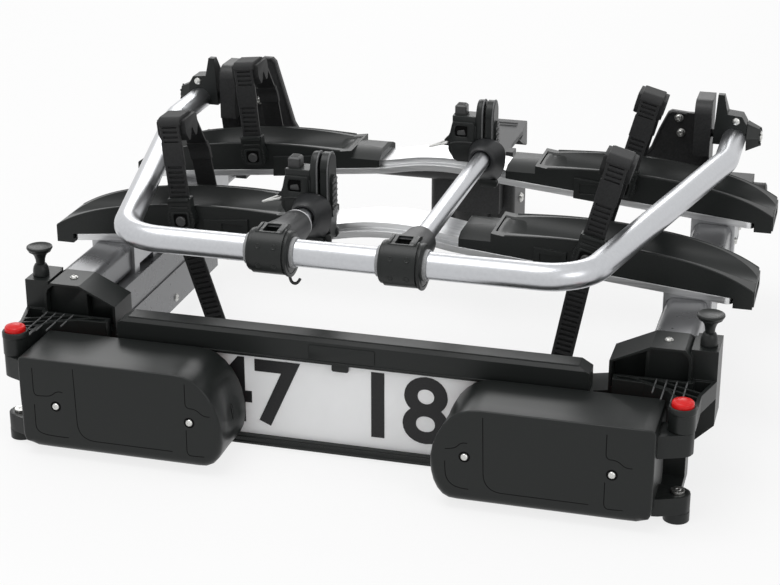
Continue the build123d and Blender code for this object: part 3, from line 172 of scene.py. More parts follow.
def finish_of(name, shine, scale, tints, gloss, edge, relief=(0.1, 0.0001), stretch=(1, 1, 1)):
    """New material whose noise varies tint, roughness and height over rounded edges.

    shine is how metallic and how reflecting it is, gloss the range of its roughness, edge the
    radius of its edges, and relief the strength and depth of the noise.
    """
    finish = bpy.data.materials.new(name)
    finish.use_nodes = True
    tree = finish.node_tree
    shader = tree.nodes["Principled BSDF"]
    shader.inputs["Metallic"].default_value, shader.inputs["Specular IOR Level"].default_value = shine
    kinds = ("TexCoord", "Mapping", "TexNoise", "ValToRGB", "MapRange", "Bump", "Bevel")
    made = [tree.nodes.new("ShaderNode" + kind) for kind in kinds]
    place, turn, noise, ramp, rough, bump, bevel = made
    turn.inputs["Scale"].default_value = stretch
    noise.inputs["Scale"].default_value = scale
    noise.inputs["Detail"].default_value = 5
    for stop, position, tint in zip(ramp.color_ramp.elements, (0.3, 0.7), tints):
        stop.position = position
        stop.color = (*tint, 1)
    rough.inputs["To Min"].default_value, rough.inputs["To Max"].default_value = gloss
    bump.inputs["Strength"].default_value, bump.inputs["Distance"].default_value = relief
    bevel.samples = 4
    bevel.inputs["Radius"].default_value = edge
    grain = noise.outputs["Fac"]
    for out, into in (
        (place.outputs["Object"], turn.inputs["Vector"]),
        (turn.outputs["Vector"], noise.inputs["Vector"]),
        (grain, ramp.inputs["Fac"]), (ramp.outputs["Color"], shader.inputs["Base Color"]),
        (grain, rough.inputs["Value"]), (rough.outputs["Result"], shader.inputs["Roughness"]),
        (grain, bump.inputs["Height"]), (bevel.outputs["Normal"], bump.inputs["Normal"]),
        (bump.outputs["Normal"], shader.inputs["Normal"]),
    ):
        tree.links.new(out, into)
    return finish


def mirrored(place, side):
    """Point on the side of the rack that is meant."""
    return (side * place[0], *place[1:])


def dress(finish, *names):
    """Gives carried-over solids their finish."""
    for name in names:
        for place in nodes[name].material_slots:
            place.material = finish


def carried(name, data, finish, body):
    """Piece of a mesh or a curve that moves with a body."""
    data.materials.append(finish)
    piece = added(name, data)
    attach(piece, body)
    return piece


def settle(name, made, finish, body, sharp=38):
    """Turns a shape made in millimetres into a piece that moves with a body."""
    for corner in made.verts:
        corner.co *= 0.001
    bmesh.ops.recalc_face_normals(made, faces=made.faces)
    mesh = bpy.data.meshes.new(name)
    made.to_mesh(mesh)
    made.free()
    mesh.polygons.foreach_set("use_smooth", [True] * len(mesh.polygons))
    mesh.set_sharp_from_angle(angle=radians(sharp))
    return carried(name, mesh, finish, body)


def around(row):
    """Neighbours in a closed row."""
    return list(zip(row, row[1:] + row[:1]))


def bridge(made, lower, upper):
    """Faces between two closed rows of corners, one of which may be a single point."""
    if len(lower) == 1:
        for here, after in around(upper):
            made.faces.new((lower[0], here, after))
    elif len(upper) == 1:
        for here, after in around(lower):
            made.faces.new((here, after, upper[0]))
    else:
        for (here, after), (over, next_over) in zip(around(lower), around(upper)):
            made.faces.new((here, after, next_over, over))


def circle(count):
    """Even directions round a circle."""
    angles = [2 * pi * step / count for step in range(count)]
    return [(cos(angle), sin(angle)) for angle in angles]


def turned(name, profile, foot, along, finish, body, turns=36, shut=False):
    """Piece turned about a line: pairs of radius and distance from its foot."""
    made = bmesh.new()
    along = Vector(along).normalized()
    across = along.orthogonal().normalized()
    other = along.cross(across)
    rings = []
    for radius, reach in profile:
        middle = Vector(foot) + along * reach
        ways = [across * x + other * y for x, y in circle(turns if radius else 1)]
        rings.append([made.verts.new(middle + way * radius) for way in ways])
    for lower, upper in around(rings) if shut else zip(rings, rings[1:]):
        bridge(made, lower, upper)
    settle(name, made, finish, body)


def screw(name, radius, height, place, way, body, turns=30):
    """Pan head screw with a washer under it and a hollow drive."""
    profile = (
        (0, 0.45), (0.3, 0.45), (0.34, 1), (0.62, 1), (0.8, 0.78), (0.84, 0.4), (1, 0.36),
        (1.02, 0), (0, 0),
    )
    profile = [(radius * out, height * up) for out, up in profile]
    turned(name, profile, place, way, screw_steel, body, turns)


grey_paint = finish_of(
    "dark_grey_paint", (0.55, 0.5), 40,
    ((0.182, 0.184, 0.191), (0.194, 0.196, 0.203)), (0.25, 0.31), 0.0012, (0.004, 0.00005),
)
screw_steel = finish_of(
    "zinc_plated_steel", (1, 0.5), 700,
    ((0.5, 0.5, 0.48), (0.72, 0.72, 0.7)), (0.22, 0.4), 0.0003, (0.15, 0.0001),
)
dress(grey_paint, "side_members", "slide_tubes", "lower_channels")
for side, hand in hands:
    place = mirrored(channel_screw_at, side)
    screw("channel_screw_" + hand, 5, 2.6, place, (-side, 0, 0), "chassis", 28)


# Cross rails.
# Each rail is an aluminium extrusion bent over the middle of the rack, bare metal with fine
# drawing lines along its length; it sits in the saddles and carries two trays.
rail_metal = finish_of(
    "drawn_aluminium", (1, 0.5), 300,
    ((0.58, 0.585, 0.59), (0.76, 0.765, 0.77)), (0.26, 0.42), 0.001, stretch=(0.03, 1, 1),
)
dress(rail_metal, "near_rail", "far_rail")


# Folding frame and clamp arms.
# Round aluminium tube, bent cold and clear anodised, so it is smooth and satin with long soft
# reflections; the frame turns on bolts in the hinge towers and the arms are bonded in the clamps.
tube_metal = finish_of(
    "anodised_tube", (1, 0.5), 260,
    ((0.51, 0.52, 0.54), (0.55, 0.56, 0.58)), (0.27, 0.33), 0.0006, (0.004, 0.00003),
)
dress(tube_metal, "u_frame", "short_arm_tube", "long_arm_tube")


# Wheel trays.
# Black injection moulded channels with a rolled bead along both walls, a framed end face and a
# scoop from the domed inner block down to the trough; each slides on its rail, held by its keel.
tray_near_y = -443
tray_far_y = -183
tray_places = [
    (side, y, where + hand)
    for side, hand in hands for where, y in (("near_", tray_near_y), ("far_", tray_far_y))
]
bead_line = [
    (138, 122.9), (176, 124.9), (215, 125.5), (256, 123.9), (296, 119.7),
    (334, 114.5), (364, 107.9), (390, 99.7), (410, 90.7), (421.5, 83.9),
]
bead_side = 38.9
bead_radius = 1.5
end_frame_x = (422.6, 424.6)
end_frame_outer = (37, 37, 63.5, 83)
end_frame_inner = (31, 28, 67.5, 78)
scoop_start = 126.6
scoop_length = 30
scoop_half = 37.6
scoop_foot_z = 96
dome_drop = 1
dome_round = 2.2
trough_sink = 0.6
edge_sink = 3.2
block_end_x = 132
block_top_z = 124.6
wall_top_z = 123.2
wall_rise = 0.045
rail_end_x = 401
rail_fall = 0.098
trough_radius = 38
trough_axis_z = 123.1

black = finish_of(
    "moulded_black", (0, 0.28), 1100,
    ((0.009, 0.0106, 0.0102), (0.0145, 0.0165, 0.0158)), (0.3, 0.43), 0.0009,
)


def skin(sections, open_start=False):
    """Shell through cross-sections of as many points each, closed at its ends."""
    made = bmesh.new()
    rows = [[made.verts.new(place) for place in section] for section in sections]
    for row, following in zip(rows, rows[1:]):
        bridge(made, row, following)
    if not open_start:
        made.faces.new(rows[0])
    made.faces.new(list(reversed(rows[-1])))
    return made


def metres(place):
    """Point given in millimetres, in metres."""
    return [part * 0.001 for part in place]


def line_piece(name, points, radius, finish, body, bent=False):
    """Round bead or wire along a line of points given in millimetres."""
    data = bpy.data.curves.new(name, "CURVE")
    data.dimensions = "3D"
    data.bevel_depth = radius * 0.001
    data.bevel_resolution = 3
    data.use_fill_caps = True
    run = data.splines.new("NURBS" if bent else "POLY")
    run.points.add(len(points) - 1)
    for knot, place in zip(run.points, points):
        knot.co = (*metres(place), 1)
    if bent:
        run.order_u = 3
        run.use_endpoint_u = True
        run.resolution_u = 8
    carried(name, data, finish, body)


def curve_between(start, corner, end, steps):
    """Points of the curve that rounds a corner."""
    shares = [step / steps for step in range(steps + 1)]
    return [start * (1 - s) ** 2 + corner * (2 * s * (1 - s)) + end * s**2 for s in shares]


def rounded(points, radius):
    """Outline with its corners rounded to at most a radius."""
    outline = []
    for index, point in enumerate(points):
        here = Vector(point)
        before = Vector(points[index - 1]) - here
        after = Vector(points[(index + 1) % len(points)]) - here
        cut = min(radius, before.length * 0.45, after.length * 0.45)
        start = here + before.normalized() * cut
        outline += curve_between(start, here, here + after.normalized() * cut, 4)
    return outline


def trapezoid(middle, low_half, top_half, low, top):
    """Outline of a rectangle, or of a shape that narrows from its lower to its upper edge."""
    lower = [(middle - low_half, low), (middle + low_half, low)]
    return lower + [(middle + top_half, top), (middle - top_half, top)]


def corner_row(made, outline, axis, reach):
    """Corners of an outline that lies across an axis, at a distance along it."""
    order = {"x": (2, 0, 1), "y": (0, 2, 1), "z": (0, 1, 2)}[axis]
    return [made.verts.new([(a, b, reach)[k] for k in order]) for a, b in outline]


def soften_rims(made, rows, edge):
    """Rounds the edges along closed rows of corners."""
    if edge:
        rims = [made.edges.get(pair) for row in rows for pair in around(row)]
        bmesh.ops.bevel(made, geom=rims, offset=edge, segments=2, profile=0.5, affect="EDGES")


def ring_plate(outer, inner, axis, low, high, edge=0.4):
    """Flat frame between two outlines with as many points each."""
    made = bmesh.new()
    sides = ((outer, low), (outer, high), (inner, high), (inner, low))
    rows = [corner_row(made, outline, axis, reach) for outline, reach in sides]
    for row, following in around(rows):
        bridge(made, row, following)
    soften_rims(made, rows[1:3], edge)
    return made


def plate(outline, radius, axis, low, high, edge=0.6):
    """Plate with rounded corners and rims, between two distances along an axis."""
    made = bmesh.new()
    outline = rounded(outline, radius) if radius else outline
    lows, highs = [corner_row(made, outline, axis, reach) for reach in (low, high)]
    made.faces.new(lows)
    made.faces.new(list(reversed(highs)))
    bridge(made, lows, highs)
    soften_rims(made, (lows, highs), edge)
    return made


def inner_scoop(side, middle_y):
    """Shell that falls from the inner block's dome to the trough that the wheel stands in."""
    rows = []
    for step in range(13):
        share = step / 12
        ease = share * share * (3 - 2 * share)
        x = scoop_start + scoop_length * share
        wall_top = block_top_z if x < block_end_x else wall_top_z + (x - block_end_x) * wall_rise
        axis_z = trough_axis_z + (rail_end_x - x) * rail_fall
        row = []
        for lane in range(21):
            y = scoop_half * (lane / 10 - 1)
            trough_z = axis_z - sqrt(trough_radius**2 - y * y)
            dome_z = wall_top - dome_drop - dome_round * (y / scoop_half) ** 2
            low_z = min(trough_z - trough_sink, wall_top - edge_sink)
            row.append((side * x, middle_y + y, max(low_z, dome_z * (1 - ease) + low_z * ease)))
        row += [(side * x, middle_y + y, scoop_foot_z) for y in (scoop_half, -scoop_half)]
        rows.append(row)
    return skin(rows)


for side, middle_y, tag in tray_places:
    tray = "tray_" + tag
    dress(black, tray)
    for wall, wall_name in ((-1, "rear"), (1, "front")):
        bead = [(side * x, middle_y + wall * bead_side, z) for x, z in bead_line]
        line_piece(tray + "_bead_" + wall_name, bead, bead_radius, black, tray, bent=True)
    end_frame = ring_plate(
        rounded(trapezoid(middle_y, *end_frame_outer), 4),
        rounded(trapezoid(middle_y, *end_frame_inner), 3), "x", *(side * x for x in end_frame_x),
    )
    settle(tray + "_end_frame", end_frame, black, tray)
    settle(tray + "_inner_scoop", inner_scoop(side, middle_y), black, tray, 60)


# Wheel straps and their loose tails.
# Toothed ladder straps of glass-filled nylon, with a rubber cap and a saddle for the rim at the top
# and a keeper loop on the far leg; the buckle grips the near leg and its tail hangs free.
strap_root_z = 112
strap_foot = {-1: 254, 1: 236}
strap_lean = {-1: radians(6), 1: radians(15)}
strap_run = [(-46, -10), (-46, 120), (0, 120), (34, 62), (46, -14)]
strap_bends = (7, 24, 24)
strap_step = 0.775
strap_half = 12.4
rung_top = 1.7
rung_gap = -0.4
rung_pitch = 6.2
rung_width = 3.6
rung_start = 26
rung_end = 111
sleeve_half = 13.1
sleeve_low = 65
sleeve_top = 93
button_level = -3.5
button_reach = 12.6
button_web = -1.15
near_leg_end = -40
cap_low = 113
cap_end_y = -13
cap_size = (13.7, 2.8)
keeper_low = 48
keeper_top = 71
keeper_size = (13.6, 3.2)
rim_saddle = [
    (-41, 118.3), (-3, 118.3), (-2.6, 101.7), (-10.6, 90.5), (-15, 93.5),
    (-22, 105.9), (-29, 93.5), (-33.4, 90.5), (-41.4, 101.7),
]
rim_grip_lines = (((-14.9, 93), (-21.6, 104.6)), ((-29.1, 93), (-22.4, 104.6)))
tail_y = tray_near_y - 46
tail_levels = (102.5, 94)
tail_low = (202, -62)
tail_bend = 40
tail_tip = 8
tail_bare = 4
tail_teeth_end = 158

strap_nylon = finish_of(
    "strap_nylon", (0, 0.3), 500,
    ((0.01, 0.0102, 0.0106), (0.02, 0.0203, 0.0208)), (0.4, 0.56), 0.0004, (0.2, 0.0002),
)
rim_rubber = finish_of(
    "rim_rubber", (0, 0.25), 800,
    ((0.015, 0.0153, 0.0157), (0.028, 0.0284, 0.029)), (0.54, 0.7), 0.0012, (0.3, 0.0002),
)


def leaned(place, side, middle_y):
    """Takes a point from a strap's upright lines to where it leans."""
    x, y, z = place
    lean = strap_lean[side]
    across = strap_foot[side] + x * cos(lean) + z * sin(lean)
    return (side * across, middle_y + y, strap_root_z - x * sin(lean) + z * cos(lean))


def gathered(shapes, side, middle_y):
    """One leaning shape from several upright ones."""
    joined = bmesh.new()
    for shape in shapes:
        part = bpy.data.meshes.new("part")
        shape.to_mesh(part)
        shape.free()
        joined.from_mesh(part)
        bpy.data.meshes.remove(part)
    for corner in joined.verts:
        corner.co = leaned(corner.co, side, middle_y)
    return joined


def softened(points, bends, step):
    """Even points along a line whose inner corners are rounded, each with its direction."""
    dense = [Vector(points[0])]
    for before, here, after, bend in zip(points, points[1:], points[2:], bends):
        here = Vector(here)
        back = (Vector(before) - here).normalized()
        ahead = (Vector(after) - here).normalized()
        cut = bend / tan(back.angle(ahead) / 2)
        dense += curve_between(here + back * cut, here, here + ahead * cut, 12)
    dense.append(Vector(points[-1]))
    even = []
    spare = 0
    for start, end in zip(dense, dense[1:]):
        length = (end - start).length
        way = (end - start) / length
        while spare <= length:
            even.append((start + way * spare, way))
            spare += step
        spare -= length
    return even


def section_at(centre, across, outward, half_outline):
    """Cross-section that is the same on both sides of its middle."""
    outline = half_outline + [(-width, thick) for width, thick in reversed(half_outline)]
    return [centre + across * width + outward * thick for width, thick in outline]


def ladder_section(lines, half, low):
    """Cross-section of the strap: two edge rails with the rungs' web between them."""
    return section_at(*lines, [
        (half - 0.6, -1.5), (half, -1.2), (half, 1.3), (half - 0.5, 1.8), (half - 3.2, 1.8),
        (half - 3.8, low),
    ])


def band_section(lines, half, thick):
    """Plain rounded cross-section of a cap or a loop."""
    return section_at(*lines, [
        (half - 0.6, -thick), (half, -thick + 0.5), (half, thick - 0.6), (half - 0.7, thick)
    ])


def strap_parts(side, middle_y):
    """Cross-sections of a strap's band, of its cap and of its keeper loop."""
    band, cap, keeper = [], [], []
    for (y, z), way in softened(strap_run, strap_bends, strap_step):
        lines = (Vector((0, y, z)), Vector((1, 0, 0)), Vector((0, -way[1], way[0])))
        near_leg = y < near_leg_end
        smooth = near_leg and sleeve_low < z < sleeve_top
        toothed = near_leg and rung_start < z < rung_end and not smooth
        low = rung_gap if toothed and (z - rung_start) % rung_pitch > rung_width else rung_top
        if near_leg and abs(z - button_level) < button_reach:
            low = button_web
        parts = [(band, ladder_section(lines, sleeve_half if smooth else strap_half, low))]
        if y < cap_end_y and z > cap_low:
            parts.append((cap, band_section(lines, *cap_size)))
        if y > 0 and keeper_low < z < keeper_top:
            parts.append((keeper, band_section(lines, *keeper_size)))
        for rows, section in parts:
            rows.append([leaned(place, side, middle_y) for place in section])
    return band, cap, keeper


def rim_pad(side, middle_y):
    """Saddle of rubber with grip ribs on both its slopes."""
    shapes = [plate(rim_saddle, 2.2, "x", -18, 18, 1.6)]
    for rib in range(5):
        x = -14 + rib * 7
        for (low_y, low_z), (top_y, top_z) in rim_grip_lines:
            lower = [(low_y, low_z - 0.6), (top_y, top_z - 0.6)]
            upper = [(top_y, top_z + 1.2), (low_y, low_z + 1.2)]
            shapes.append(plate(lower + upper, 0, "x", x - 1.3, x + 1.3, 0.3))
    return gathered(shapes, side, middle_y)


for side, middle_y, tag in tray_places:
    node = "strap_" + tag
    band, cap, keeper = strap_parts(side, middle_y)
    for name, shape, finish, sharp in (
        ("_band", skin(band), strap_nylon, 30), ("_cap", skin(cap), rim_rubber, 30),
        ("_keeper", skin(keeper), rim_rubber, 30),
        ("_rim_pad", rim_pad(side, middle_y), rim_rubber, 35),
    ):
        piece = settle(node + name, shape, finish, "tray_" + tag, sharp)
        if name == "_band":
            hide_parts(node)
        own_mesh(piece)
for side, hand in hands:
    slope = tan(strap_lean[side])
    line = [(strap_foot[side] + (z - strap_root_z) * slope, z) for z in tail_levels] + [tail_low]
    sections = []
    for (x, z), way in softened(line, (tail_bend,), strap_step):
        left = z - tail_low[1]
        half = strap_half - max(0, tail_tip - left) ** 2 * 0.09
        toothed = tail_bare < left < tail_teeth_end
        low = rung_gap if toothed and left % rung_pitch > rung_width else rung_top
        across = Vector((side * way[1], 0, -way[0]))
        lines = (Vector((side * x, tail_y, z)), across, Vector((0, -1, 0)))
        sections.append(ladder_section(lines, half, low))
    tail = settle("strap_tail_band_" + hand, skin(sections), strap_nylon, "tray_near_" + hand, 30)
    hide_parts("strap_tail_" + hand)
    hook = metres((side * strap_foot[side], tail_y, tail_levels[0]))
    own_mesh(tail)


# Strap buckles.
# Moulded ratchet bodies pinned to each tray's near wall, with a framed window over the pawl whose
# walls are near-black painted shade, grip ribs down both edges and a round push button that lets the
# strap go.
front_y = -52
window_outer = trapezoid(0, 11.5, 11.5, -13, 8.5)
window_inner = trapezoid(0, 8.6, 8.6, -10.4, 5.6)
window_depth = [(x * 0.71, z * 0.71 - 1) for x, z in rounded(window_inner, 9)]

button_black = finish_of(
    "button_black", (0, 0.4), 600,
    ((0.044, 0.045, 0.045), (0.058, 0.059, 0.059)), (0.26, 0.4), 0.0012,
)
# Near-black painted shade, put in windows, grooves and round screws where the hollows lie in shade.
painted_shade_black = finish_of(
    "painted_shade_black", (0, 0.1), 600,
    ((0.0016, 0.0016, 0.0016), (0.0028, 0.0028, 0.0028)), (0.6, 0.8), 0.0003,
)
for side, middle_y, tag in tray_places:
    dress(black, "buckle_" + tag)
    dress(button_black, "buckle_button_" + tag)
    rims = [rounded(window_outer, 4), rounded(window_inner, 3)]
    face = [
        ring_plate(*rims, "y", front_y + 0.3, front_y - 1.6),
        plate(trapezoid(0, 12, 11, 12, 15), 1.2, "y", front_y + 0.2, front_y - 1.3, 0.4),
        plate(trapezoid(0, 13.5, 12.5, 19.8, 25.4), 2, "y", front_y + 0.4, front_y - 2.4, 0.8),
    ]
    for edge in (-1, 1):
        for low in (-6, -2.4, 1.2, 4.8):
            grip = [(13.4, low), (15.8, low), (15.6, low + 1.8), (13.4, low + 1.8)]
            grip = [(edge * x, z) for x, z in grip]
            face.append(plate(grip, 0.7, "y", front_y + 0.2, front_y - 1, 0.3))
    # Near-black ring of painted shade lining the window's walls.
    hole = ring_plate(rims[1], window_depth, "y", front_y - 0.15, front_y - 0.3, 0)
    for name, shapes, finish in (("_window", [hole], painted_shade_black), ("_face", face, black)):
        settle("buckle_" + tag + name, gathered(shapes, side, middle_y), finish, "tray_" + tag)


# Cross tube, hinge towers, frame fittings and knobs.
# The towers are black coated castings on a steel cross tube, each bolted through its fin; the
# frame's tails end in plastic wedges, and a six-sided knob on each side clamps the hinge.
tower_bolts = ((287, 167), (290.6, 147))
tower_bolt_size = (5.6, 4.6)
tower_face_y = -99
fin_lines = {
    -1: [(234, 100), (243, 119), (267.5, 201.5), (272, 206), (283, 206), (297, 194.5)],
    1: [(234, 100), (253.5, 123.5), (263, 149), (273.5, 171.5), (278, 174), (297, 172)],
}
cross_end = (402, -75, 63)
cross_cap = [(0, 3), (9, 3), (13.6, 2.2), (16.2, 0.6), (16.4, -1), (0, -1)]
knob_face = (394.3, -120, 156)
knob_stud = [(0, 2.4), (3.2, 2.4), (3.6, 1.6), (6.2, 1.6), (7, 0.9), (7.2, -0.6), (0, -0.6)]
knob_ridge = ((0.2, 9), (-0.2, 12.06))
fitting_face = (364, -142, 180)
fitting_cap = [(0, 3.4), (2.6, 3.2), (4.4, 2), (5, 0), (5.2, -1), (0, -1)]

black_casting = finish_of(
    "coated_casting", (0, 0.36), 420,
    ((0.013, 0.0133, 0.0137), (0.025, 0.0254, 0.026)), (0.36, 0.52), 0.0012, (0.28, 0.0003),
)
dress(black_casting, "hinge_towers", "rear_cross_tube", "coupling_arm")
dress(black, "frame_tail_fittings", "hinge_knob_left", "hinge_knob_right")
for side, hand in hands:
    for count, (x, z) in enumerate(tower_bolts, 1):
        place = (side * x, tower_face_y, z)
        screw(f"tower_bolt_{hand}_{count}", *tower_bolt_size, place, (0, -1, 0), "chassis")
    rim = [(side * x, tower_face_y - 0.4, z) for x, z in fin_lines[side]]
    line_piece("tower_rim_" + hand, rim, 1.8, black_casting, "chassis")
    place = mirrored(cross_end, side)
    turned("cross_tube_cap_" + hand, cross_cap, place, (side, 0, 0), black, "chassis", 40)
    x, y, z = knob_face
    place = mirrored(knob_face, side)
    turned("knob_stud_" + hand, knob_stud, place, (side, 0, 0), screw_steel, "hinge_knob_" + hand)
    for grip in range(1, 7):
        angle = radians(grip * 60 - 30)
        ridge = [
            (side * (x + out), y + cos(angle) * radius, z + sin(angle) * radius)
            for out, radius in knob_ridge
        ]
        line_piece(f"knob_ridge_{hand}_{grip}", ridge, 1.2, black, "hinge_knob_" + hand)
    place = mirrored(fitting_face, side)
    turned("fitting_cap_" + hand, fitting_cap, place, (0, -1, 0), screw_steel, "u_frame", 28)


# Bar clamps.
# Two-part nylon bands that slide along the frame's front bar, with a flared rim and a grey liner;
# the arm's tube is bonded in a tapering hood. The short one has a pale mouth ring and a hook.
bar_y = -660
bar_z = 148
clamp_x = {"short": -82, "long": 66}
hood_reach = {"short": 85.6, "long": 71.6}
hood_start = 8
hood_rings = (
    (0, 23.6, 24.4, 23.4, 2.8), (0.1, 23.3, 25.4, 22.7, 2.7), (0.24, 22.4, 24.6, 21.7, 2.6),
    (0.42, 20.8, 22.2, 20, 2.5), (0.62, 19.4, 19.8, 18.6, 2.3), (0.82, 18.5, 18.5, 17.9, 2.15),
    (0.96, 18.1, 18.1, 17.6, 2.1), (1, 17.3, 17.3, 17, 2),
)
flare_foot = 23.2
flare_x = 20.4
flare_start = 35
flare_turn = 198.4
flare_low = 1
flare_rise = 4.6
flare_profile = (
    (-1.9, 0, 0), (-1.3, 0.6, 1), (0.4, 1.2, 1), (1.5, 0.9, 1), (1.9, 0, 0.5), (1.9, 0, 0),
)
panel_radius = 25.6
dimple_spots = ((-9, 62), (9, 62), (-9, 112), (9, 112))
dimple = [(3.4, -0.5), (3.2, 0.35), (2.5, 0.5), (1.9, 0.1), (1.2, -0.35), (0, -0.5)]
cheek_line = [(-15, 13), (-9, 26), (12, 27.4), (22, 24), (20, 20), (-5, 20)]
mouth_ring = [
    (11.15, -3), (11.15, 1.8), (12.2, 3), (15.6, 2.9), (17.6, 1.4), (17.9, -1.6), (17.2, -3)
]
hook_line = [(20, -3, -23), (21, -4, -29), (24, -5, -34), (30, -5, -34), (33, -5, -28)]

liner_nylon = finish_of(
    "liner_nylon", (0, 0.5), 500,
    ((0.26, 0.265, 0.27), (0.35, 0.355, 0.36)), (0.44, 0.58), 0.0005,
)
ring_nylon = finish_of(
    "ring_nylon", (0, 0.5), 500,
    ((0.5, 0.5, 0.51), (0.6, 0.6, 0.61)), (0.34, 0.48), 0.0006,
)
clamp_grey = finish_of(
    "clamp_nylon", (0, 0.34), 900,
    ((0.016, 0.017, 0.018), (0.024, 0.025, 0.026)), (0.34, 0.46), 0.0009, (0.12, 0.0001),
)


def squared_ring(x, y, half_width, top, low, square):
    """Upright cross-section about the bar's level, between a circle and a rounded square."""
    ring = []
    for way in circle(44):
        across, rise = [copysign(abs(part) ** (2 / square), part) for part in way]
        ring.append((x + across * half_width, y, bar_z + rise * (top if rise > 0 else low)))
    return ring


def out_of_bar(degrees):
    """Direction away from the front bar, turned back from straight up."""
    return Vector((0, -sin(radians(degrees)), cos(radians(degrees))))


for arm, middle_x in clamp_x.items():
    body = arm + "_arm"
    dress(black, arm + "_bar_clamp")
    dress(liner_nylon, arm + "_clamp_liner")
    flare = []
    for step in range(33):
        out = out_of_bar(flare_start + step * flare_turn / 32)
        spread = flare_low + flare_rise * (step / 32) ** 1.6
        centre = Vector((middle_x + flare_x + spread * 0.35, bar_y, bar_z)) + out * flare_foot
        flare.append([
            centre + Vector((shift, 0, 0)) + out * (rise + spread * share)
            for shift, rise, share in flare_profile
        ])
    settle(arm + "_clamp_flare", skin(flare), black, body, 50)
    for count, (spot_x, degrees) in enumerate(dimple_spots, 1):
        out = out_of_bar(degrees)
        foot = Vector((middle_x + spot_x, bar_y, bar_z)) + out * panel_radius
        turned(f"{arm}_clamp_dimple_{count}", dimple, foot, out, black, body, 24)
    for edge, edge_name in hands:
        cheek = plate(
            [(bar_y + y, bar_z + z) for y, z in cheek_line], 2, "x",
            middle_x + edge * 12.4, middle_x + edge * 15.4, 0.8,
        )
        settle(arm + "_clamp_cheek_" + edge_name, cheek, black, body)
    reach = hood_reach[arm]
    hood = [
        squared_ring(middle_x, bar_y + hood_start + (reach - hood_start) * share, *size)
        for share, *size in hood_rings
    ]
    hood.append(squared_ring(middle_x, bar_y + reach - 2, 11.2, 11.2, 11.2, 2))
    settle(arm + "_clamp_hood", skin(hood, True), clamp_grey, body, 50)
    if arm == "short":
        mouth = (middle_x, bar_y + reach, bar_z)
        turned("short_sleeve_ring", mouth_ring, mouth, (0, 1, 0), ring_nylon, body, 40, shut=True)
        hook = [(middle_x + x, bar_y + y, bar_z + z) for x, y, z in hook_line]
        line_piece("short_clamp_hook", hook, 1.7, black, body, bent=True)


# Frame claws.
# Each claw is a nylon bell that turns on the arm, with a fixed jaw and one pinned between two ears,
# both edged with a thin lighter grey line that is painted highlight; a lock housing carries a square
# push button, a white wire ring and a window of near-black painted shade.
claw_y = {"short": -522, "long": -262}
jaw_offset = {"short": -1, "long": -14}
claw_depth = 32
bell_neck = ((-1, 11.7), (-26, 11.7), (-27.6, 12.8))
bell_rings = (
    (-27.8, 0, 14.2, 14.2, 14.6), (-26.6, 0.2, 15.6, 15.4, 16.6), (-20, 0.8, 18.2, 17.4, 22.5),
    (-12, 1.6, 20.6, 19, 29), (-5, 2.2, 22.8, 20.4, 34), (-2, 2.4, 23.6, 21, 36),
    (-0.8, 2.4, 22.6, 20.4, 35.2),
)
bell_lug = [(-6, -30), (15, -30), (18, -36), (15, -41), (-3, -41), (-6, -36)]
jaw_arc = [pi * step / 12 for step in range(1, 12)]
jaw_line = (
    [(5, -40), (0, -20), (0, 46)]
    + [(16 - 16 * cos(angle), 46 + 20 * sin(angle)) for angle in jaw_arc]
    + [(claw_depth, 46), (claw_depth, -20), (claw_depth - 5, -40)]
)
lock_block = [(1, -12), (1, 36.8), (-30, 36.8), (-30.5, 29), (-34.5, 21), (-34.5, 2), (-26, -12)]
lock_cover = [(-27, -10), (-1, -10), (-1, 40), (-29, 40), (-33.4, 20)]
lock_window = [(-25, 21), (-10, 21), (-10, 35), (-24, 35), (-26, 28)]
lock_pawl = [(-23, 23), (-12, 23), (-14, 30), (-23, 28)]
lock_crease = [(-31, -2.6, 12), (-20, -3, 15), (-3, -2.6, 14)]
lock_button = (-21, 15, 59)
catch_upper = [(-33.5, 10.7), (-42, 10.7), (-42, 12.3), (-33.5, 21)]
catch_lower = [(-33.5, 4.6), (-42, 4.6), (-42, 6.2), (-33.5, 7.3)]
jaw_ear = trapezoid(16.5, 8.5, 8.5, -42, -28)
jaw_pin_at = (18, 0.5, -35)
jaw_pin = [(0, 0), (2, 0), (2.5, 0.6), (2.5, 30.4), (2, 31), (0, 31)]

# Lighter grey: painted highlight along the jaws' edges and the bracket arms' ribs; the jaws' grip ribs
# take it too.
highlight_and_grip_grey = finish_of(
    "highlight_and_grip_grey", (0, 0.5), 500,
    ((0.08, 0.082, 0.084), (0.13, 0.132, 0.134)), (0.44, 0.6), 0.0004, (0.15, 0.0001),
)
white_wire = finish_of(
    "white_coated_wire", (0, 0.5), 300,
    ((0.64, 0.64, 0.62), (0.8, 0.8, 0.78)), (0.3, 0.42), 0.0003,
)

# name, outline from the jaw's left face, rounding, two depths, edge, finish, sharp angle
claw_plates = (
    ("_lock_block", lock_block, 3, 0, 26, 2, black, 50),
    # The lock window is a near-black plate of painted shade.
    ("_lock_window", lock_window, 1.6, 0.1, -0.3, 0, painted_shade_black, 38),
    ("_lock_pawl", lock_pawl, 1.2, -0.2, -1.4, 0.4, button_black, 38),
    ("_ring_catch_upper", catch_upper, 0.8, 9, 19, 0.4, black, 38),
    ("_ring_catch_lower", catch_lower, 0.8, 9, 19, 0.4, black, 38),
    ("_jaw_ear_rear", jaw_ear, 6, 0, 4.5, 0.6, black, 38),
    ("_jaw_ear_front", jaw_ear, 6, 27.5, 32, 0.6, black, 38),
)

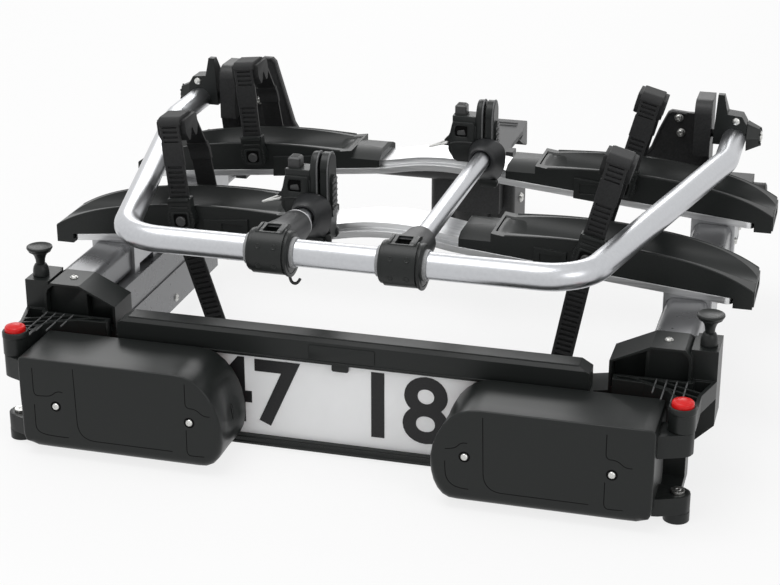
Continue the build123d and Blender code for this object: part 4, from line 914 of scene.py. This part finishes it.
for arm, near in claw_y.items():
    middle_x = clamp_x[arm]
    left_x = middle_x + jaw_offset[arm]
    claw = arm + "_claw"
    jaw = arm + "_jaw"
    dress(black, arm + "_claw_body", arm + "_claw_jaw")
    dress(button_black, arm + "_claw_button")
    dress(white_wire, arm + "_claw_ring")

    bell = [squared_ring(middle_x, near + y, radius, radius, radius, 2) for y, radius in bell_neck]
    bell += [squared_ring(middle_x + x, near + y, *size, 2.3) for y, x, *size in bell_rings]
    settle(arm + "_claw_bell", skin(bell), clamp_grey, claw, 50)
    fixed_jaw = plate(
        [(near + y, bar_z + z) for y, z in jaw_line], 0, "x", left_x, left_x + 10, 2.4
    )
    fixed_jaw = settle(arm + "_fixed_jaw", fixed_jaw, black, claw, 50)
    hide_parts(arm + "_claw_body")

    lug = [(x - jaw_offset[arm], z) for x, z in bell_lug]
    for name, outline, radius, low, high, edge, finish, sharp in (
        ("_claw_lug", lug, 3, -9, -1, 1.2, black, 38), *claw_plates
    ):
        outline = [(left_x + x, bar_z + z) for x, z in outline]
        shape = plate(outline, radius, "y", near + low, near + high, edge)
        settle(arm + name, shape, finish, claw, sharp)

    button_x, button_y, button_top = lock_button
    button_x += left_x
    button_y += near
    collar = ring_plate(
        rounded(trapezoid(left_x - 14.5, 15.5, 15.5, near + 0.4, near + 26), 2.5),
        rounded(trapezoid(button_x, 7.9, 7.9, button_y - 7.9, button_y + 7.9), 2),
        "z", bar_z + 36.4, bar_z + 47, 0.8,
    )
    settle(arm + "_button_collar", collar, black, claw)
    for ridge in (1, 2, 3):
        y = button_y + (ridge - 2) * 4
        top = bar_z + button_top
        bar = plate(trapezoid(button_x, 5, 5, y - 0.7, y + 0.7), 0.6, "z", top - 0.3, top + 0.7, 0.25)
        settle(f"{arm}_button_ridge_{ridge}", bar, button_black, arm + "_button")

    rims = []
    for outline, radius in ((lock_cover, 2.5), (lock_window, 1.6)):
        rims.append(rounded([(left_x + x, bar_z + z) for x, z in outline], radius))
    cover = ring_plate(*rims, "y", near + 0.3, near - 2.4, 0.7)
    settle(arm + "_lock_cover", cover, black, claw)
    crease = [(left_x + x, near + y, bar_z + z) for x, y, z in lock_crease]
    line_piece(arm + "_lock_crease", crease, 1.2, black, claw, bent=True)

    pin_x, pin_y, pin_z = jaw_pin_at
    place = (left_x + pin_x, near + pin_y, bar_z + pin_z)
    turned(arm + "_jaw_pin", jaw_pin, place, (0, 1, 0), screw_steel, claw, 24)
    # Thin lighter grey lines along both jaws' edges: painted highlight.
    for rim_x, body, name in ((8.6, claw, "fixed"), (21.4, jaw, "moving")):
        lip = [(left_x + rim_x, near + y, bar_z + z) for y, z in jaw_line[1:]]
        line_piece(arm + "_jaw_edge_highlight_" + name, lip, 1.1, highlight_and_grip_grey, body)
    for rib in range(1, 7):
        z = bar_z - 9 + rib * 7
        bar = plate(trapezoid(near + 16, 7, 7, z, z + 3), 1.4, "x", left_x + 25.2, left_x + 26.8, 0.5)
        settle(f"{arm}_jaw_grip_{rib}", bar, highlight_and_grip_grey, jaw)


# Number plate holder and plate.
# The holder is one long black moulding with a deep top bar, a clip and a lip that the plate drops
# behind; the plate is white reflective sheet on aluminium, with pressed black figures.
bar_front_y = -659
bare_panel = trapezoid(-5, 38, 38, 23.5, 40.5)
clip_line = trapezoid(-7.5, 9.5, 9.5, 18.8, 10.4)
holder_lines = (
    ("holder_step_low", 262, -0.2, 21.5, 0.9), ("holder_step_top", 258, 4.6, 48.4, 0.9),
    ("holder_lip_1", 264, -0.1, -82.6, 1.1), ("holder_lip_2", 264, -0.1, -88.4, 1.1),
)
cell_scale = 420
figure_size = 0.10956
figure_level = -0.064
plate_front_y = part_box("number_plate")[0][1]

dress(black, "plate_holder")
badge = plate(bare_panel, 2, "y", bar_front_y + 0.3, bar_front_y - 0.9, 0.5)
settle("holder_bare_panel", badge, black, "lamp_board")
for name, half, back, z, radius in holder_lines:
    line = [(side * half, bar_front_y + back, z) for side in (-1, 1)]
    line_piece(name, line, radius, black, "lamp_board")
clip = plate(clip_line, 1.8, "y", bar_front_y + 1.5, bar_front_y + 4.8, 0.5)
settle("plate_clip", clip, black, "lamp_board")

plate_sheet = finish_of(
    "reflective_sheet", (0, 0.5), 30,
    ((0.93, 0.935, 0.94), (0.96, 0.965, 0.97)), (0.36, 0.44), 0.0005, (0.02, 0.00005),
)
tree = plate_sheet.node_tree
cells = tree.nodes.new("ShaderNodeTexVoronoi")
cells.inputs["Scale"].default_value = cell_scale
tree.links.new(tree.nodes["Texture Coordinate"].outputs["Object"], cells.inputs["Vector"])
tree.links.new(cells.outputs["Distance"], tree.nodes["Bump"].inputs["Height"])
dress(plate_sheet, "number_plate")

figure_paint = finish_of(
    "figure_paint", (0, 0.3), 900,
    ((0.01, 0.01, 0.011), (0.018, 0.018, 0.019)), (0.34, 0.48), 0.0002,
)
for name, figures, x in (
    ("figures_left", "47", -0.112), ("figures_right", "18", 0.062), ("figures_mid", "0", -0.225)
):
    data = bpy.data.curves.new(name, "FONT")
    data.body = figures
    data.size = figure_size
    data.align_x = "CENTER"
    data.extrude = 0.0003
    data.offset = 0.0022
    data.resolution_u = 6
    data.materials.append(figure_paint)
    text = added(name, data)
    text.rotation_euler = (radians(90), 0, 0)
    text.location = (x, plate_front_y - 0.0003, figure_level)
    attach(text, "lamp_board")


# End brackets, release buttons and plungers.
# Ribbed black mouldings, hollow behind, carry the lamp pivots at both ends of the lamp board; a red
# domed button and a sprung plunger with a mushroom head on each let the lamp and the board go.
pivot = (375, -703.6)
plunger = (388.5, -602)
release_dome = [(0, 1.9), (3, 1.75), (6.4, 1.2), (8.6, 0.3), (9.2, -0.9), (0, -0.9)]
release_collar = [(12.2, -1), (12.2, 1.4), (13, 2), (14.2, 1.6), (14.9, 0.2), (14.9, -5)]
plunger_head = [
    (0, -0.4), (8, -0.2), (11.6, 0.6), (13.6, 1.5), (14.8, 1), (15.2, -0.6), (14.2, -2.6),
    (10.4, -6), (7.2, -10), (5.6, -15), (5.2, -20), (0, -20),
]
plunger_sleeve = [(0, 0), (9.6, 0), (9.4, 6), (8.6, 10), (6.8, 13.6), (5, 14.6), (0, 14.6)]
bracket_plug = [
    (289.4, 16.4), (370.6, 16.4), (370.6, 53), (368.6, 59.2), (362.6, 64), (331.2, 64), (289.4, 45.4)
]
bracket_pad = [
    (324, 16.4), (370.4, 16.4), (370.4, 52.8), (368.4, 59), (362.4, 63.8), (331.4, 63.8), (324, 61)
]
arm_rib_highlights = ((371, -686), (360, -683), (349, -679), (338, -664))
bracket_screw_at = (346, -604, 67.5)
foot_screw_z = -60.9
arm_rib_end = -628.5
arm_rib_z = 31.2

red_plastic = finish_of(
    "red_button_plastic", (0, 0.3), 500,
    ((0.63, 0.005, 0.005), (0.69, 0.008, 0.008)), (0.26, 0.34), 0.0012, (0.02, 0.00005),
)
for side, hand in hands:
    dress(black, "end_bracket_" + hand, "plunger_" + hand)
    dress(red_plastic, "release_button_" + hand)
    for name, profile, spot, z, turns, finish, body in (
        ("release_dome_", release_dome, pivot, 44.5, 40, red_plastic, "release_button_" + hand),
        ("release_collar_", release_collar, pivot, 37, 40, black, "lamp_board"),
        ("plunger_head_", plunger_head, plunger, 100.8, 48, black, "plunger_" + hand),
        ("plunger_sleeve_", plunger_sleeve, plunger, 66.4, 40, black, "plunger_" + hand),
    ):
        place = mirrored((*spot, z), side)
        shut = profile is release_collar
        turned(name + hand, profile, place, (0, 0, 1), finish, body, turns, shut)
    place = mirrored(bracket_screw_at, side)
    screw("bracket_screw_" + hand, 4.6, 2.6, place, (0, 0, 1), "lamp_board")
    place = mirrored((*pivot, foot_screw_z), side)
    screw("foot_screw_" + hand, 5.4, 3.2, place, (0, 0, 1), "lamp_" + hand)
    for name, outline, radius, low, high, edge in (
        ("bracket_plug_", bracket_plug, 3, -607.5, -604.2, 0.8),
        ("bracket_pad_", bracket_pad, 5, -619, -607, 2),
    ):
        shape = plate([(side * x, z) for x, z in outline], radius, "y", low, high, edge)
        settle(name + hand, shape, black, "lamp_board")
    # The arm's ribs are thin lighter grey lines: painted highlight along their edges.
    for count, (x, near_y) in enumerate(arm_rib_highlights, 1):
        rib = [(side * x, y, arm_rib_z) for y in (near_y, arm_rib_end)]
        line_piece(f"arm_rib_{hand}_{count}", rib, 0.9, highlight_and_grip_grey, "lamp_board")


# Tail lamps.
# Each lamp is a deep black moulded shell, folded with its back outward, with moulded lines drawn in
# near-black painted shade and two screws set in discs of near-black painted shade; a stepped red lens
# closes its other side, and two thick lugs turn on the bracket's pins.
lamp_screws = {-1: (-311, -153), 1: (155, 311)}
lamp_screw_z = -29.5
lamp_back_y = -745
lamp_front_y = -665
lamp_top_z = 25.5
lamp_middle = Vector((235, -30))
lamp_edge_line = [
    (170, 25.5), (158, 24.2), (148, 20.4), (139, 13.4), (131, 4), (124.4, -8), (120, -20),
    (117.6, -32), (117, -43.5), (117.4, -53), (119.4, -64), (123.4, -73), (129.4, -80),
    (137, -83.8), (146, -84.5), (180, -84.5), (230, -84.5), (280, -84.5), (320, -84.5), (338, -84.2),
    (345.6, -81.8), (350.8, -77), (353.4, -71.6), (354, -64), (354, -40), (354, -10),
    (354, 10), (353.9, 20), (352.8, 24.2), (349, 25.5), (320, 25.5), (260, 25.5), (210, 25.5),
]
lamp_piece_length = 9
lamp_wall = 4.2
lens_seat_depth = -30
lamp_side_rows = (lamp_front_y, *range(-671, -728, -8))
dent_depth = 6.5
dent_start_x = 165
dent_reach_x = 40
dent_middle = (-703, -34)
dent_size = (17, 24)
back_roll = 2.2
low_roll = 9.5
low_roll_start = -20
low_roll_height = 55
outer_end_x = 349
outer_end_roll = 4
lug_levels = (("upper", -14, 11.5, 7.3), ("lower", -81, -61, 6.3))
lug_foot = [
    (351.5, -727.6), (354, -727.6), (379, -717.4), (386, -713), (389.4, -703.6), (386, -694),
    (375, -689.1), (351.5, -689.1),
]
end_lines = {
    -1: (
        [(-337, -11), (-337, -28), (-337, -44.5), (-326, -44), (-316, -43), (-308, -35.5), (-302, -37)],
        [(-337, -55.5), (-337, -72), (-337, -88), (-322, -92.5), (-298, -92)],
    ),
    1: (
        [(134, -48), (140, -47), (146, -45), (152, -38), (158, -39)],
        [(134, -62), (134, -72), (136, -84), (146, -92.5), (160, -92.5)],
    ),
}
shared_lines = (
    [(0, -7), (1, -50), (2, -92.5), (44, -92.5), (114, -92.5)],
    [(0, -9.5), (0, -24), (0, -38), (12, -37.5), (21, -46), (28, -45)],
    [(0, -64.5), (0, -80), (0, -95), (10, -95), (20, -94.5)],
)
line_starts = {-1: (-288, -157, -157), 1: (174, 304, 304)}
screw_shade_disc = [(0, 0.1), (4.6, 0.1), (5.2, 0.35), (6, 0.3), (6.4, -0.3), (0, -0.3)]
lamp_screw = [
    (0, 1.6), (1.2, 1.6), (1.5, 2.2), (2.3, 2.3), (3.4, 1.7), (4.1, 0.6), (4.2, 0.1), (0, 0.1)
]

lamp_black = finish_of(
    "lamp_black", (0, 0.28), 1400,
    ((0.0092, 0.0108, 0.0104), (0.0142, 0.016, 0.0154)), (0.29, 0.4), 0.0012, (0.06, 0.0001),
)
red_lens = finish_of(
    "red_lens", (0, 0.5), 240,
    ((0.4, 0.006, 0.006), (0.55, 0.012, 0.012)), (0.08, 0.18), 0.0004, (0.2, 0.0002),
)
red_lens.node_tree.nodes["Principled BSDF"].inputs["Transmission Weight"].default_value = 0.35
dress(screw_steel, "lamp_pivots")


def share_of(distance, reach):
    """How far a distance goes along a reach, from 0 to 1."""
    return max(0, min(1, distance / reach))


def lamp_rings():
    """Cross-sections of the lamp's shell from inside its hollow, round its rim, to its back."""
    line = []
    for here, after in around([Vector(place) for place in lamp_edge_line]):
        pieces = max(1, int((after - here).length / lamp_piece_length))
        line += [here.lerp(after, step / pieces) for step in range(pieces)]
    lanes = []
    for before, here, after in zip(line[-1:] + line, line, line[1:] + line[:1]):
        out = Vector((before.y - after.y, after.x - before.x)).normalized()
        lanes.append((here, out if out.dot(here - lamp_middle) >= 0 else -out))
    rings = [
        [(here - out * lamp_wall, lamp_front_y + depth) for here, out in lanes]
        for depth in (lens_seat_depth, 0)
    ]
    for y in lamp_side_rows:
        ring = []
        for here, out in lanes:
            off_y = (y - dent_middle[0]) / dent_size[0]
            off_z = (here.y - dent_middle[1]) / dent_size[1]
            dent = dent_depth * share_of(dent_start_x - here.x, dent_reach_x)
            ring.append((here - out * dent * exp(-(off_y**2) - off_z**2), y))
        rings.append(ring)
    for step in range(7):
        turn = radians(90 - step * 15)
        ring = []
        for here, out in lanes:
            below = share_of(low_roll_start - here.y, low_roll_height)
            roll = back_roll + low_roll * below * below * (3 - 2 * below)
            if here.x > outer_end_x:
                roll = min(roll, outer_end_roll)
            place = here - out * roll * (1 - sin(turn))
            ring.append((place, lamp_back_y + roll * (1 - cos(turn))))
        rings.append(ring)
    return rings


def lug_rings(side, hole):
    """Outline of a lug and of its pin hole, both met by even rays from the pin's axis."""
    outer, inner = [], []
    sides = around(rounded(lug_foot, 3))
    edges = [(start - Vector(pivot), end - start) for start, end in sides]
    for way in map(Vector, circle(48)):
        best = 0
        for start, edge in edges:
            turn = way.cross(edge)
            if abs(turn) > 1e-9 and -1e-6 <= start.cross(way) / turn <= 1.000001:
                best = max(best, start.cross(edge) / turn)
        for ring, radius in ((outer, best), (inner, hole)):
            ring.append((side * (pivot[0] + way.x * radius), pivot[1] + way.y * radius))
    return outer, inner


for side, hand in hands:
    lamp = "lamp_" + hand
    dress(red_lens, "lamp_lens_" + hand)
    sections = [[(side * place.x, y, place.y) for place, y in ring] for ring in lamp_rings()]
    shell = settle("lamp_shell_" + hand, skin(sections), lamp_black, lamp, 42)
    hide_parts("lamp_housing_" + hand)
    for level, low, top, hole in lug_levels:
        lug = ring_plate(*lug_rings(side, hole), "z", low, top, 1)
        settle("lamp_lug_" + level + "_" + hand, lug, lamp_black, lamp, 40)
    # Near-black lines of painted shade stand in for the moulded grooves.
    shaded_groove_lines = list(end_lines[side])
    for start_x, line in zip(line_starts[side], shared_lines):
        shaded_groove_lines.append([(start_x + x, z) for x, z in line])
    for count, line in enumerate(shaded_groove_lines, 1):
        drawn = [(x, lamp_back_y + 0.25, lamp_top_z + z) for x, z in line]
        line_piece(f"lamp_groove_shade_{hand}_{count}", drawn, 0.55, painted_shade_black, lamp, bent=True)
    for count, x in enumerate(lamp_screws[side], 1):
        tag = f"{hand}_{count}"
        place = (x, lamp_back_y, lamp_screw_z)
        # A near-black disc of painted shade round each screw.
        turned("lamp_screw_seat_" + tag, screw_shade_disc, place, (0, -1, 0), painted_shade_black, lamp)
        turned("lamp_screw_" + tag, lamp_screw, place, (0, -1, 0), screw_steel, lamp, 30)


# Coupling and its lever.
# The coupling is a black coated casting with a tapered cup over the towball, with a painted highlight
# along its rim drawn as a thin steel line; a grey nylon paddle with two grip ribs across it turns on a
# pin in the body and clamps the ball.
lever_foot = Vector((0, 8, 58))
lever_tip = Vector((0, 106, 82))
lever_way = (lever_tip - lever_foot).normalized()
lever_up = Vector((0, -lever_way.z, lever_way.y))
lever_rib_half = 34
lever_rib_reach = (84, 91)
lever_rib_rise = 3.4
coupling_bolt_at = (60, 0, 4)
cup_radius = 33.2
cup_middle_y = -33
cup_lip_z = 43.6

lever_grey = finish_of(
    "lever_grey", (0, 0.4), 700,
    ((0.08, 0.081, 0.082), (0.104, 0.105, 0.106)), (0.4, 0.54), 0.001, (0.12, 0.0001),
)
dress(black_casting, "coupling_body")
dress(lever_grey, "coupling_lever")
# A thin steel line round the cup's rim: painted highlight.
angles = [radians(degrees) for degrees in range(-84, 85, 7)]
cup_rim_highlight = [(sin(a) * cup_radius, cup_middle_y - cos(a) * cup_radius, cup_lip_z) for a in angles]
line_piece("coupling_cup_lip", cup_rim_highlight, 0.9, screw_steel, "chassis")
for rib, reach in enumerate(lever_rib_reach, 1):
    centre = lever_foot + lever_way * reach + lever_up * lever_rib_rise
    line = [centre + Vector((side * lever_rib_half, 0, 0)) for side in (-1, 1)]
    line_piece(f"lever_rib_{rib}", line, 1.3, lever_grey, "coupling_lever")
for side, hand in hands:
    place = mirrored(coupling_bolt_at, side)
    screw("coupling_bolt_" + hand, 7, 4, place, (side, 0, 0), "chassis")


# Rail saddles.
# Light grey cast collars clamp each rail to the side members with two bolts; the metal is bead
# blasted, with a slot along the underside that the bolts draw shut.
saddle_bolt = (378, 27, 44)

saddle_cast = finish_of(
    "blasted_casting", (0.8, 0.5), 70,
    ((0.45, 0.455, 0.465), (0.49, 0.495, 0.505)), (0.34, 0.42), 0.002, (0.006, 0.00005),
)
dress(saddle_cast, "rail_saddles")
for side, middle_y, tag in tray_places:
    for end, end_name in ((-1, "_rear"), (1, "_front")):
        x, off_y, z = saddle_bolt
        place = (side * x, middle_y + end * off_y, z)
        screw("saddle_bolt_" + tag + end_name, 4.6, 3, place, (side, 0, 0), "chassis")
